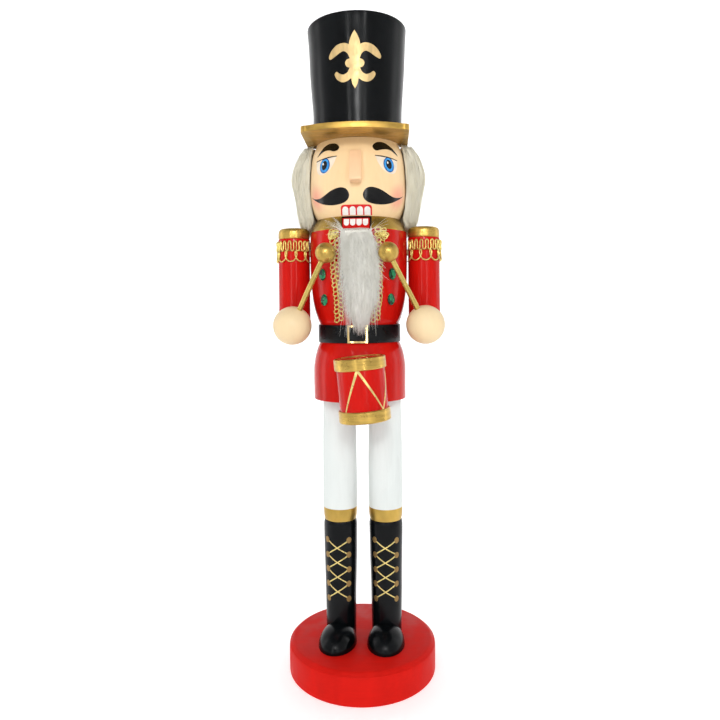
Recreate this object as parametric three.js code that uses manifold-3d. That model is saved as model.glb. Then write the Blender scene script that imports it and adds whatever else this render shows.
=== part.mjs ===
// A 600 mm wooden nutcracker drummer: turned and painted wood, a lever jaw with a fur beard,
// arms that swing on shoulder pegs, and a small drum pegged to the front of the tunic.
// Millimetres, +Z up, the face looks along -Y, and the origin is the centre of the base's underside.
import * as THREE from "three";
import { mergeVertices } from "three/addons/utils/BufferGeometryUtils.js";
import Module from "manifold-3d";

const wasm = await Module();
wasm.setup();

// Heights of the stacked wooden pieces, from the table up.
const BASE_TOP = 28.5;
const BOOT_TOP = 151;
const SKIRT_BOTTOM = 253.8;
const BELT_BOTTOM = 306.4;
const WAIST = 314.5;
const BELT_TOP = 322.7;
const SHOULDER = 408.5;
const NECK = 420;
const HEAD_TOP = 490;
const HAT_BOTTOM = 495;
const HAT_TOP = 600;

// Radii and offsets.
const BASE_R = 68.5;
const LEG_X = 21.5;
const LEG_SHIFT = 1.8; // the pair of legs stands this far to the left of the middle
const LEG_R = 15.9;
const SKIRT_R = 43.4;
const WAIST_R = 37.2;
const TORSO_R = 45.8;
const HEAD_R = 45.4;
const HAT_TOP_R = 46.5;
const ARM_X = 61.5;
const ARM_R = 14.9;
const HAND_R = 17.4;
const KNOB_R = 8.9;
const STICK_R = 2.4;
const DRUM_R = 20.5;
const HOOP_R = 22.1;
const DRUM_HEIGHT = 53;

// Moving parts: the jaw lever's pin and the shoulder pegs lie along X.
const LEVER_PIN = { y: 4, z: 404, r: 2.5 };
const SHOULDER_PEG = { z: 390, r: 3 };
const ELBOW_Z = 322.6;
const SLOT_WIDTH = 26.7;
const JAW_WIDTH = 23.9;
const JAW_SHIFT = -0.4; // the jaw sits a little to one side in its slot

const GAP = 0.3; // between pieces that are glued, pegged or turn against each other
const ROUND = 36; // sides of a large turned piece
const SMALL_ROUND = 24;
const PEG_ROUND = 12;

const paint = (color, roughness = 0.35, metalness = 0) =>
  new THREE.MeshStandardMaterial({ color, roughness, metalness });
const red = paint(0xc8161b);
const black = paint(0x0d0f14);
const white = paint(0xe9e9e2);
const flesh = paint(0xf3cf9c);
const gold = paint(0xb08d3c, 0.35, 0.7);
const bareWood = paint(0xc9a877, 0.7);
const steel = paint(0x9a9ca0, 0.3, 1);
const fur = paint(0xe4e0d4, 0.95);
const vinyl = paint(0x101216, 0.5);
const foil = paint(0xe0b95c, 0.25, 1);
const braid = paint(0xc9a63c, 0.5, 0.5);
const gem = paint(0x0c7a4a, 0.05);

// ---- solids ----

const degrees = THREE.MathUtils.degToRad;
const vector2 = (points) => points.map(([a, b]) => new THREE.Vector2(a, b));

// A closed three.js geometry as a solid.
function solidOf(geometry) {
  const bare = geometry.clone();
  bare.deleteAttribute("normal");
  bare.deleteAttribute("uv");
  const merged = mergeVertices(bare, 1e-3);
  const vertProperties = merged.attributes.position.array;
  const triVerts = new Uint32Array(merged.index.array);
  return new wasm.Manifold(new wasm.Mesh({ numProp: 3, vertProperties, triVerts }));
}

// A solid back as a three.js geometry.
function geometryOf(solid) {
  const mesh = solid.getMesh();
  const geometry = new THREE.BufferGeometry();
  geometry.setAttribute("position", new THREE.BufferAttribute(new Float32Array(mesh.vertProperties), 3));
  geometry.setIndex(new THREE.BufferAttribute(mesh.triVerts, 1));
  return geometry;
}

// A piece turned about the Z axis, from its [radius, height] profile listed from the bottom up.
function turned(profile, sides = ROUND) {
  return new THREE.LatheGeometry(vector2(profile), sides).rotateX(Math.PI / 2);
}

// The same, closed at both ends on the axis.
function turnedSolid(profile, sides = ROUND) {
  const bottom = profile[0][1];
  const top = profile[profile.length - 1][1];
  return solidOf(turned([[0, bottom], ...profile, [0, top]], sides));
}

// A turned shell: the outer profile bottom up, then the inner one back down.
function turnedShell(outer, inner, sides = ROUND) {
  const loop = [...outer, ...[...inner].reverse()];
  return solidOf(turned([...loop, loop[0]], sides));
}

const grown = (profile, by) => profile.map(([r, z]) => [r + by, z]);

// A rod of radius r between two points.
function rod(r, from, to, sides = PEG_ROUND) {
  const start = new THREE.Vector3(...from);
  const along = new THREE.Vector3(...to).sub(start);
  const turn = new THREE.Quaternion().setFromUnitVectors(
    new THREE.Vector3(0, 1, 0),
    along.clone().normalize(),
  );
  const middle = start.clone().addScaledVector(along, 0.5);
  return solidOf(
    new THREE.CylinderGeometry(r, r, along.length(), sides).applyQuaternion(turn).translate(...middle),
  );
}

function ball(r, [x, y, z], sides = SMALL_ROUND) {
  return solidOf(new THREE.SphereGeometry(r, sides, sides / 2).rotateX(Math.PI / 2).translate(x, y, z));
}

// A box from its lowest to its highest corner.
function block([x0, y0, z0], [x1, y1, z1]) {
  const geometry = new THREE.BoxGeometry(x1 - x0, y1 - y0, z1 - z0);
  return solidOf(geometry.translate((x0 + x1) / 2, (y0 + y1) / 2, (z0 + z1) / 2));
}

// An outline in the Y-Z plane, extruded along X between x0 and x1.
function sideExtrusion(outline, x0, x1) {
  const shape = outline instanceof THREE.Shape ? outline : new THREE.Shape(vector2(outline));
  const geometry = new THREE.ExtrudeGeometry(shape, { depth: x1 - x0, bevelEnabled: false, curveSegments: 6 });
  const axes = new THREE.Matrix4().makeBasis(
    new THREE.Vector3(0, 1, 0),
    new THREE.Vector3(0, 0, 1),
    new THREE.Vector3(1, 0, 0),
  );
  return solidOf(geometry.applyMatrix4(axes).translate(x0, 0, 0));
}

// An outline in the X-Z plane, extruded along Y between y0 and y1.
function frontExtrusion(outline, y0, y1) {
  const shape = outline instanceof THREE.Shape ? outline : new THREE.Shape(vector2(outline));
  const geometry = new THREE.ExtrudeGeometry(shape, { depth: y1 - y0, bevelEnabled: false, curveSegments: 8 });
  return solidOf(geometry.rotateX(Math.PI / 2).translate(0, y1, 0));
}

// The half of space where z + y is over, or under, a level in the arm's own frame: the elbow's mitre.
function mitreHalf(side, z, gap) {
  const size = 200;
  const geometry = new THREE.BoxGeometry(size, size, size)
    .translate(0, 0, (side * size) / 2 + side * gap)
    .rotateX(degrees(-45))
    .translate(0, 0, z);
  return solidOf(geometry);
}

const figure = new THREE.Group();

function add(name, shape, material, parent = figure) {
  const geometry = shape instanceof THREE.BufferGeometry ? shape : geometryOf(shape);
  const mesh = new THREE.Mesh(geometry, material);
  mesh.name = name;
  parent.add(mesh);
  return mesh;
}

const SIDES = [
  { side: "right", x: -1, footTurn: degrees(-8), handInset: 2.2, knobX: 26.4 },
  { side: "left", x: 1, footTurn: degrees(-3), handInset: 0.8, knobX: 28 },
];

// ---- profiles of the turned pieces, [radius, height] ----

const baseProfile = [
  [BASE_R - 1, 0],
  [BASE_R, 1],
  [BASE_R, 22.5],
  [BASE_R - 1.4, 26],
  [BASE_R - 3.4, 28],
  [BASE_R - 5, BASE_TOP],
];
const bootProfile = [
  [13.9, BASE_TOP],
  [14.1, 50],
  [15, 95],
  [15.6, 130],
  [15.4, 136.5],
  [14.7, 139.4],
  [15.6, 144],
  [15.9, BOOT_TOP],
];
const skirtProfile = [
  [SKIRT_R - 0.3, SKIRT_BOTTOM],
  [SKIRT_R, 279.5],
  [42.4, 290],
  [40.6, 298],
  [38.4, 304],
  [WAIST_R, BELT_BOTTOM],
  [WAIST_R, WAIST],
];
const torsoProfile = [
  [WAIST_R, WAIST],
  [WAIST_R, BELT_TOP],
  [39.4, 328.5],
  [41.8, 337],
  [43.6, 346.7],
  [44.8, 358.8],
  [45.5, 371],
  [TORSO_R, 388],
  [45.6, 402],
  [45, SHOULDER],
  [42.9, 413.7],
  [39, NECK],
];
const headProfile = [
  [38.2, NECK],
  [40.5, 423.8],
  [43.5, 431],
  [45, 440],
  [HEAD_R, 449],
  [44.7, 462.8],
  [43.9, 472],
  [42.4, 481],
  [39, HEAD_TOP],
  [39, HAT_BOTTOM],
];
const hatProfile = [
  [41.8, HAT_BOTTOM],
  [41.8, 519],
  [42.9, 536],
  [44.4, 558],
  [45.4, 583],
  [HAT_TOP_R, 599],
  [HAT_TOP_R - 0.8, HAT_TOP],
];

// ---- base, boots and legs ----

const screwHole = (x) =>
  rod(4.5, [x, 0, -1], [x, 0, 4.6]).add(rod(2.3, [x, 0, 4], [x, 0, BASE_TOP + 1]));

add(
  "base",
  SIDES.reduce((wood, { x }) => wood.subtract(screwHole(x * LEG_X + LEG_SHIFT)), turnedSolid(baseProfile, 48)),
  red,
);

const footLength = 24.6;
const footRise = 17.4;
const footWidth = 17.4;
const LEG_TENON_R = 7;

for (const { side, x, footTurn } of SIDES) {
  const leg = new THREE.Group();
  leg.position.x = x * LEG_X + LEG_SHIFT;
  figure.add(leg);

  const screw = turnedSolid([[3.9, 1.4], [3.9, 2.2], [2, 4.2], [2, 56], [0.6, 60]], PEG_ROUND);
  add(`${side}_base_screw`, screw, steel, leg);

  const pilot = rod(2.3, [0, 0, BASE_TOP - 1], [0, 0, 62]);
  const socket = rod(LEG_TENON_R + GAP, [0, 0, BOOT_TOP - 21], [0, 0, BOOT_TOP + 1], SMALL_ROUND);
  const boot = turnedSolid(bootProfile, SMALL_ROUND).subtract(pilot).subtract(socket);
  add(`${side}_boot`, boot, black, leg);

  const dome = new THREE.SphereGeometry(1, SMALL_ROUND, 14).rotateX(Math.PI / 2);
  dome.scale(footWidth, footLength, footRise).translate(0, -16.5, BASE_TOP);
  const foot = solidOf(dome)
    .intersect(block([-40, -60, BASE_TOP], [40, 5, BASE_TOP + 40]))
    .subtract(turnedSolid(grown(bootProfile, GAP), SMALL_ROUND));
  const footMesh = add(`${side}_foot`, foot, black, leg);
  footMesh.rotation.z = footTurn;

  const legWood = turnedSolid(
    [
      [LEG_TENON_R, BOOT_TOP - 20],
      [LEG_TENON_R, BOOT_TOP],
      [LEG_R, BOOT_TOP],
      [LEG_R, 200],
      [LEG_R - 0.7, SKIRT_BOTTOM],
    ],
    SMALL_ROUND,
  );
  const hipHole = rod(5 + GAP, [0, 0, SKIRT_BOTTOM - 19], [0, 0, SKIRT_BOTTOM + 1]);
  add(`${side}_leg`, legWood.subtract(hipHole), white, leg);
  add(`${side}_hip_dowel`, rod(5, [0, 0, SKIRT_BOTTOM - 18], [0, 0, SKIRT_BOTTOM + 18]), bareWood, leg);
}

// ---- tunic: skirt, torso, belt, buckle, braid and gems ----

const WAIST_DOWEL_R = 8;
const drumPlace = { x: 4.8, y: -65.9, z: 269.5, lean: degrees(-5.1) };
const drumPeg = { z: 272, r: 3 };
const drumPegFrom = [drumPlace.x, drumPlace.y + 8, drumPeg.z];
const drumPegTo = [drumPlace.x, -30, drumPeg.z];
const drumPegHole = rod(drumPeg.r + GAP, [drumPlace.x, drumPlace.y + 7, drumPeg.z], [drumPlace.x, -29, drumPeg.z]);

let skirt = turnedSolid(skirtProfile)
  .subtract(rod(WAIST_DOWEL_R + GAP, [0, 0, WAIST - 19], [0, 0, WAIST + 1], SMALL_ROUND))
  .subtract(drumPegHole);
for (const { x } of SIDES) {
  const legX = x * LEG_X + LEG_SHIFT;
  const hole = rod(5 + GAP, [legX, 0, SKIRT_BOTTOM - 1], [legX, 0, SKIRT_BOTTOM + 19]);
  skirt = skirt.subtract(hole);
}
add("tunic_skirt", skirt, red);
add("waist_dowel", rod(WAIST_DOWEL_R, [0, 0, WAIST - 18], [0, 0, WAIST + 18], SMALL_ROUND), bareWood);

const halfSlot = SLOT_WIDTH / 2;
const neckDowels = [-1, 1].map((x) => [x * 26, 18]);
const NECK_DOWEL_R = 4;
const leverSlot = block([-halfSlot, -60, 364], [halfSlot, 8, NECK + 1]).add(
  block([-halfSlot, 7, 388], [halfSlot, 60, NECK + 1]),
);
let torso = turnedSolid(torsoProfile)
  .subtract(leverSlot)
  .subtract(rod(WAIST_DOWEL_R + GAP, [0, 0, WAIST - 1], [0, 0, WAIST + 19], SMALL_ROUND))
  .subtract(rod(LEVER_PIN.r + GAP, [-60, LEVER_PIN.y, LEVER_PIN.z], [60, LEVER_PIN.y, LEVER_PIN.z]));
for (const { x } of SIDES) {
  torso = torso.subtract(rod(SHOULDER_PEG.r + GAP, [x * 33, 0, SHOULDER_PEG.z], [x * 60, 0, SHOULDER_PEG.z]));
}
for (const [x, y] of neckDowels) {
  torso = torso.subtract(rod(NECK_DOWEL_R + GAP, [x, y, NECK - 16], [x, y, NECK + 1]));
}
add("torso", torso, red);

const BELT_IN = WAIST_R + GAP;
const BELT_OUT = 38.6;
const ring = (inner, outer, low, high, sides = ROUND) =>
  turnedShell([[outer, low], [outer, high]], [[inner, low], [inner, high]], sides);
add("belt", ring(BELT_IN, BELT_OUT, BELT_BOTTOM, BELT_TOP), vinyl);

const buckleHalf = 9;
const buckleBar = 1.5;
const rectangle = (half, low, high) => [[-half, low], [half, low], [half, high], [-half, high]];
const buckleFrame = frontExtrusion(rectangle(buckleHalf, BELT_BOTTOM + 0.2, BELT_TOP - 0.2), -60, -20).subtract(
  frontExtrusion(
    rectangle(buckleHalf - buckleBar, BELT_BOTTOM + 0.2 + buckleBar, BELT_TOP - 0.2 - buckleBar),
    -61,
    -19,
  ),
);
add("buckle", ring(BELT_OUT + GAP, BELT_OUT + 1.1, 300, 330).intersect(buckleFrame), foil);

// Two bands of braid run down the front, a little closer together at the belt.
const BRAID_WIDTH = 8.5;
const braidTop = { x: 21, z: 407.5 };
const braidBottom = { x: 15.6, z: 324.5 };
const chest = torsoProfile.filter(([, z]) => z >= BELT_TOP && z <= SHOULDER);
const braidShell = turnedShell(grown(chest, 1.3), grown(chest, GAP));
for (const { side, x } of SIDES) {
  const half = BRAID_WIDTH / 2;
  const strip = [
    [x * braidBottom.x - half, braidBottom.z],
    [x * braidBottom.x + half, braidBottom.z],
    [x * braidTop.x + half, braidTop.z],
    [x * braidTop.x - half, braidTop.z],
  ];
  add(`${side}_front_braid`, braidShell.intersect(frontExtrusion(strip, -60, -10)), braid);
}

const gemAngle = degrees(43.3);
const gemRows = [
  { row: "upper", z: 368.2, r: 45.4 },
  { row: "lower", z: 345.5, r: 43.4 },
];
for (const { side, x } of SIDES) {
  for (const { row, z, r } of gemRows) {
    const cut = turnedSolid([[4.2, 0], [4.2, 0.9], [2.4, 2.9]], 12);
    const stone = add(`${side}_${row}_gem`, cut, gem);
    const spot = new THREE.Group();
    spot.position.set(x * Math.sin(gemAngle) * (r + 0.5), -Math.cos(gemAngle) * (r + 0.5), z);
    spot.rotation.z = x * gemAngle;
    stone.rotation.x = Math.PI / 2;
    stone.scale.set(1, 1.32, 1);
    spot.add(stone);
    figure.add(spot);
  }
}

// ---- head, nose, hair, visor and hat ----

let head = turnedSolid(headProfile).subtract(rod(5 + GAP, [0, 0, HAT_BOTTOM - 19], [0, 0, HAT_BOTTOM + 1]));
for (const [x, y] of neckDowels) {
  head = head.subtract(rod(NECK_DOWEL_R + GAP, [x, y, NECK - 1], [x, y, NECK + 16]));
}
add("head", head, flesh);
neckDowels.forEach(([x, y], i) => {
  const side = SIDES[i].side;
  add(`${side}_neck_dowel`, rod(NECK_DOWEL_R, [x, y, NECK - 15], [x, y, NECK + 15]), bareWood);
});

const noseOutline = [
  [-30, 447.2],
  [-58.6, 448.6],
  [-59.4, 450.6],
  [-46.6, 477],
  [-30, 477],
];
const headClear = turnedSolid(grown(headProfile, GAP));
add("nose", sideExtrusion(noseOutline, -5, 5).subtract(headClear), flesh);

// The visor: a board with a bowed front edge, rounded corners and a round cut-out that fits the head's top.
const visorHalf = 47;
const visorCorner = { y: 56, r: 5 };
const visorBow = 10;
const visorInner = 39 + GAP;
const visorBack = 1;
function visorShape() {
  const shape = new THREE.Shape();
  const chord = visorHalf - visorCorner.r;
  const bowR = (chord * chord + visorBow * visorBow) / (2 * visorBow);
  const bowY = -visorCorner.y - visorCorner.r - visorBow + bowR;
  const bowAngle = Math.asin(chord / bowR);
  const backX = Math.sqrt(visorInner * visorInner - visorBack * visorBack);
  const backAngle = Math.atan2(visorBack, backX);
  shape.moveTo(-visorHalf, visorBack);
  shape.lineTo(-visorHalf, -visorCorner.y);
  shape.absarc(-visorHalf + visorCorner.r, -visorCorner.y, visorCorner.r, Math.PI, 1.5 * Math.PI, false);
  shape.absarc(0, bowY, bowR, 1.5 * Math.PI - bowAngle, 1.5 * Math.PI + bowAngle, false);
  shape.absarc(visorHalf - visorCorner.r, -visorCorner.y, visorCorner.r, 1.5 * Math.PI, 2 * Math.PI, false);
  shape.lineTo(visorHalf, visorBack);
  shape.lineTo(backX, visorBack);
  shape.absarc(0, 0, visorInner, backAngle, -Math.PI - backAngle, true);
  return shape;
}
const visorGeometry = new THREE.ExtrudeGeometry(visorShape(), {
  depth: HAT_BOTTOM - HEAD_TOP,
  bevelEnabled: false,
  curveSegments: 14,
});
add("visor", solidOf(visorGeometry.translate(0, 0, HEAD_TOP)), gold);

const hatDowelHole = rod(5 + GAP, [0, 0, HAT_BOTTOM - 1], [0, 0, HAT_BOTTOM + 19]);
add("hat", turnedSolid(hatProfile).subtract(hatDowelHole), black);
add("hat_dowel", rod(5, [0, 0, HAT_BOTTOM - 18], [0, 0, HAT_BOTTOM + 18]), bareWood);

// The hair: a fur strip from one temple round the back to the other, with two locks behind the shoulders.
const hairOuter = [
  [46.6, 402],
  [50, 404],
  [54, 412],
  [56, 424],
  [57.7, 435.5],
  [60, 447],
  [62.6, 457.4],
  [61.8, 464],
  [58, 473],
  [52, 481.5],
  [44.6, 487],
];
const hairInner = [
  [46.3, 402],
  [45.9, 409],
  [43.6, 414.4],
  [41.2, 421],
  [44, 431],
  [45.5, 440],
  [45.9, 449],
  [45.2, 462.8],
  [44.4, 472],
  [42.9, 481],
  [40.8, 487],
];
const HAIR_LOW = 421.5; // the hair over the lever handle ends here
// A wedge of the space round the Z axis, between two angles from the back (+Y).
function wedge(from, to, low, high) {
  const far = 120;
  const corner = (angle) => [far * Math.sin(degrees(angle)), far * Math.cos(degrees(angle))];
  const middle = (from + to) / 2;
  const shape = new THREE.Shape(vector2([[0, 0], corner(to), corner(middle), corner(from)]));
  return solidOf(
    new THREE.ExtrudeGeometry(shape, { depth: high - low, bevelEnabled: false }).translate(0, 0, low),
  );
}
const hairCap = wedge(-94, 0, HAIR_LOW, 500).add(wedge(0, 94, HAIR_LOW, 500));
const hairLocks = wedge(22, 54, 400, 430).add(wedge(-54, -22, 400, 430));
add("hair", turnedShell(hairOuter, hairInner).intersect(hairCap.add(hairLocks)), fur);

// ---- the lever: jaw, handle, pin and beard ----

const jawLow = -halfSlot + (SLOT_WIDTH - JAW_WIDTH) / 2 + JAW_SHIFT;
const jawHigh = jawLow + JAW_WIDTH;
const HANDLE_Y = 48;
const leverOutline = [
  [-37, 378],
  [-44, 381],
  [-45.2, 386],
  [-45.4, 402],
  [-44.2, 410],
  [-40.5, 417.8],
  [-8, 417.8],
  [38, 406],
  [HANDLE_Y - GAP, 403.5],
  [HANDLE_Y - GAP, 391],
  [-8, 391],
  [-26, 378],
];
const pinHole = rod(LEVER_PIN.r + GAP, [-30, LEVER_PIN.y, LEVER_PIN.z], [30, LEVER_PIN.y, LEVER_PIN.z]);
add("jaw_lever", sideExtrusion(leverOutline, jawLow, jawHigh).subtract(pinHole), red);

const handleOutline = [
  [HANDLE_Y, 284],
  [HANDLE_Y, 403.5],
  [54, 401.5],
  [57.5, 396],
  [57.5, 288],
  [63, 270],
  [54, 267],
];
add("lever_handle", sideExtrusion(handleOutline, jawLow, jawHigh), red);
add(
  "lever_pin",
  rod(LEVER_PIN.r, [-43, LEVER_PIN.y, LEVER_PIN.z], [43, LEVER_PIN.y, LEVER_PIN.z]),
  steel,
);

// The beard: a long tuft of fur glued to the jaw's front below the teeth.
function beardFront() {
  const shape = new THREE.Shape();
  shape.moveTo(-12.5, 407);
  shape.bezierCurveTo(-14, 398, -17.3, 392, -17.3, 376);
  shape.bezierCurveTo(-17.3, 352, -9, 340, -6, 313);
  shape.lineTo(6, 313);
  shape.bezierCurveTo(9, 340, 17.3, 352, 17.3, 376);
  shape.bezierCurveTo(17.3, 392, 14, 398, 12.5, 407);
  return shape;
}
const beardSide = [
  [-40.8, 313],
  [-42.6, 325],
  [-46.6, 345],
  [-47.2, 360],
  [-47.2, 380],
  [-46.2, 403],
  [-45.4, 407],
  [-48.5, 407],
  [-53, 396],
  [-55, 380],
  [-54.5, 360],
  [-51.5, 340],
  [-45.5, 320],
  [-43.5, 313],
];
add("beard", sideExtrusion(beardSide, -30, 30).intersect(frontExtrusion(beardFront(), -80, -20)), fur);

// ---- arms: shoulder peg, cap, braid, mitred elbow, hand and drumstick ----

const CAP_BOTTOM = 403.4;
const CAP_TOP = 413.4;
const capProfile = [
  [14.2, CAP_BOTTOM],
  [14.7, CAP_BOTTOM + 1.2],
  [14.7, CAP_TOP - 3.4],
  [13.8, CAP_TOP - 1],
  [11.9, CAP_TOP],
];
const armBraid = { low: 381.3, high: 401.5 };
const hand = { y: -32, z: ELBOW_Z };
const HAND_FLAT = -19.5; // where the wrist meets the flat on the back of the hand
const knob = { y: -57, z: 385.8 };

for (const { side, x, handInset, knobX } of SIDES) {
  const armX = x * ARM_X;
  const pegHole = rod(SHOULDER_PEG.r + GAP, [x * 40, 0, SHOULDER_PEG.z], [x * 71, 0, SHOULDER_PEG.z]);
  const mitreUp = mitreHalf(1, ELBOW_Z, GAP / 2);
  const mitreDown = mitreHalf(-1, ELBOW_Z, GAP / 2);

  const upper = rod(ARM_R, [armX, 0, ELBOW_Z - 20], [armX, 0, CAP_BOTTOM], SMALL_ROUND)
    .intersect(mitreUp)
    .subtract(pegHole);
  add(`${side}_upper_arm`, upper, red);

  const forearm = rod(ARM_R, [armX, 20, ELBOW_Z], [armX, HAND_FLAT + GAP, ELBOW_Z], SMALL_ROUND);
  add(`${side}_forearm`, forearm.intersect(mitreDown), red);

  add(`${side}_shoulder_cap`, turnedSolid(capProfile, SMALL_ROUND), gold).position.x = armX;

  // The braid's two ends stop either side of the shoulder peg.
  const seam = block([-x * 10 - 8, -4, 370], [-x * 10 + 8, 4, 410]);
  const strip = ring(ARM_R + 0.2, ARM_R + 1, armBraid.low, armBraid.high, SMALL_ROUND).subtract(seam);
  add(`${side}_arm_braid`, strip, braid).position.x = armX;

  const handCentre = new THREE.Vector3(armX - x * handInset, hand.y, hand.z);
  const knobCentre = new THREE.Vector3(x * knobX, knob.y, knob.z);
  const stickWay = knobCentre.clone().sub(handCentre).normalize();
  const along = (from, distance) => from.clone().addScaledVector(stickWay, distance).toArray();

  const palm = ball(HAND_R, handCentre.toArray())
    .intersect(block([armX - 30, -80, 280], [armX + 30, HAND_FLAT, 370]))
    .subtract(rod(STICK_R + GAP, along(handCentre, 8), along(handCentre, 25)));
  add(`${side}_hand`, palm, flesh);

  const stick = rod(STICK_R, along(handCentre, 8.5), along(knobCentre, -3.5));
  add(`${side}_drumstick`, stick, gold);
  const bead = ball(KNOB_R, knobCentre.toArray(), 20).subtract(
    rod(STICK_R + GAP, along(knobCentre, -3), along(knobCentre, -15)),
  );
  add(`${side}_drumstick_knob`, bead, gold);

  const peg = rod(SHOULDER_PEG.r, [x * 34, 0, SHOULDER_PEG.z], [x * 70, 0, SHOULDER_PEG.z]);
  add(`${side}_shoulder_peg`, peg, bareWood);
}

// ---- the drum ----

const HOOP_HEIGHT = 10;
const drum = new THREE.Group();
drum.position.set(drumPlace.x, drumPlace.y, drumPlace.z);
drum.rotation.y = drumPlace.lean;
figure.add(drum);
const halfDrum = DRUM_HEIGHT / 2;
const shellPegHole = rod(drumPeg.r + 0.6, [0, 7, drumPeg.z - drumPlace.z], [0, 25, drumPeg.z - drumPlace.z]);
const drumShell = turnedSolid([[DRUM_R, -halfDrum], [DRUM_R, halfDrum]], 28).subtract(shellPegHole);
add("drum_shell", drumShell, red, drum);
add("drum_lower_hoop", ring(DRUM_R + GAP, HOOP_R, -halfDrum - 0.4, HOOP_HEIGHT - halfDrum, 28), gold, drum);
add("drum_upper_hoop", ring(DRUM_R + GAP, HOOP_R, halfDrum - HOOP_HEIGHT, halfDrum + 0.4, 28), gold, drum);
add("drum_peg", rod(drumPeg.r, drumPegFrom, drumPegTo), bareWood);

export default figure;
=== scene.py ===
"""The wooden nutcracker drummer's looks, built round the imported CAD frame. Lengths are in millimetres."""

import math

import bmesh
import bpy
import numpy as np
from mathutils import Matrix, Vector


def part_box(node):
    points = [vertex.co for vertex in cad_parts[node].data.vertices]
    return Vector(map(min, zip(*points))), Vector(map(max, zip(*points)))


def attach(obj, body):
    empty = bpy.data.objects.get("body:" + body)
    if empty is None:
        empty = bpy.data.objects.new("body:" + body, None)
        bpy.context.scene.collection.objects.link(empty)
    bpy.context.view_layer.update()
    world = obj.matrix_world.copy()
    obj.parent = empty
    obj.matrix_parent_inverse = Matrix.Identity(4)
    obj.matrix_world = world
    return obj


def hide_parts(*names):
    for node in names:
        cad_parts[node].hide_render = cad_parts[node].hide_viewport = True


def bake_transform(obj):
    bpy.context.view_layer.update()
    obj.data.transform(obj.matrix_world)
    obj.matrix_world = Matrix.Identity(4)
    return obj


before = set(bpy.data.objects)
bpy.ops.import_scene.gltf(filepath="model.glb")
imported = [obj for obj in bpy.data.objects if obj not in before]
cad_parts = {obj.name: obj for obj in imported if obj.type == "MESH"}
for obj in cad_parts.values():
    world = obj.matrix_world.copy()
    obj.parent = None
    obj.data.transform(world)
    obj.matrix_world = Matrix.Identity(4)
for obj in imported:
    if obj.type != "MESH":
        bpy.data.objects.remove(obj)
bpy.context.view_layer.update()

MM = 0.001
FIGURE, JAW = "figure", "jaw"
SIDES = {"right": -1, "left": 1}
CREASE = 38  # degrees between two faces past which their edge is drawn sharp
COLLAR_LEVEL, BOOT_BAND_LEVEL = 408.4, 139.4  # heights above which torso and boots are painted gold
HEAD_UNDERSIDE = 420.0
HEAD_ARC = 45.0  # painted features on the head are laid out along an arc of this radius
rng = np.random.default_rng(20)


# ---------------------------------------------------------------- mesh tools


def box_mm(node):
    low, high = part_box(node)
    return np.array(low) / MM, np.array(high) / MM


def centre_mm(node):
    low, high = box_mm(node)
    return (low + high) / 2


def finish_piece(obj, body, replaces=()):
    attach(obj, body)
    if replaces:
        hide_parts(*replaces)
    return obj


def make_object(name, verts, faces, materials, sharp=CREASE):
    mesh = bpy.data.meshes.new(name)
    mesh.from_pydata((np.asarray(verts, float) * MM).tolist(), [], [tuple(f) for f in faces])
    for material in materials:
        mesh.materials.append(material)
    mesh.polygons.foreach_set("use_smooth", [True] * len(mesh.polygons))
    mesh.update()
    if sharp:
        mesh.set_sharp_from_angle(angle=math.radians(sharp))
    obj = bpy.data.objects.new(name, mesh)
    bpy.context.scene.collection.objects.link(obj)
    return obj


def make_piece(name, verts, faces, material, body, slot, replaces=(), sharp=CREASE):
    obj = make_object(name, verts, faces, [material], sharp)
    return finish_piece(obj, body, replaces)


def merged(parts):
    """Several (verts, faces) as one."""
    verts, faces, start = [], [], 0
    for v, f in parts:
        verts.append(np.asarray(v, float))
        faces += [tuple(i + start for i in face) for face in f]
        start += len(v)
    return np.concatenate(verts), faces


def full_turn(sides):
    """Evenly spaced angles round a circle."""
    return np.arange(sides) / sides * 2 * math.pi


def grid_faces(rings, sides):
    """Quads between neighbouring rings of points."""
    faces = []
    for i in range(rings - 1):
        for j in range(sides):
            k = (j + 1) % sides
            faces.append((i * sides + j, i * sides + k, (i + 1) * sides + k, (i + 1) * sides + j))
    return faces


def wrap_faces(rings, sides):
    """Quads that join the last ring back to the first."""
    last = (rings - 1) * sides
    return [(last + j, last + (j + 1) % sides, (j + 1) % sides, j) for j in range(sides)]


def capped_rings(rings, poles=None):
    """A closed solid through rings of points, closed at each end on its middle or on a point in poles."""
    first, last = (rings[0].mean(0), rings[-1].mean(0)) if poles is None else poles
    verts = np.concatenate([*rings, [first], [last]])
    n, sides = len(rings), len(rings[0])
    faces = grid_faces(n, sides)
    for j in range(sides):
        k = (j + 1) % sides
        faces.append((n * sides, k, j))
        faces.append((n * sides + 1, (n - 1) * sides + j, (n - 1) * sides + k))
    return verts, faces


def flipped(faces):
    return [tuple(reversed(f)) for f in faces]


def face_outwards(obj):
    """Turns a closed mesh's faces outwards."""
    bm = bmesh.new()
    bm.from_mesh(obj.data)
    bmesh.ops.recalc_face_normals(bm, faces=bm.faces[:])
    bm.to_mesh(obj.data)
    bm.free()


def curve_through(points, steps=6, closed=False):
    """A smooth line through points, in any number of dimensions."""
    p = np.asarray(points, float)
    n = len(p)
    if closed:
        p = np.concatenate([p[-1:], p, p[:2]])
    else:
        p = np.concatenate([[2 * p[0] - p[1]], p, [2 * p[-1] - p[-2]]])
    out = []
    for i in range(n if closed else n - 1):
        a, b, c, d = p[i : i + 4]
        square, cube = 2 * a - 5 * b + 4 * c - d, 3 * b - a - 3 * c + d
        for t in np.arange(steps) / steps:
            out.append(0.5 * (2 * b + (c - a) * t + square * t**2 + cube * t**3))
    if not closed:
        out.append(p[-2])
    return np.array(out)


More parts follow.
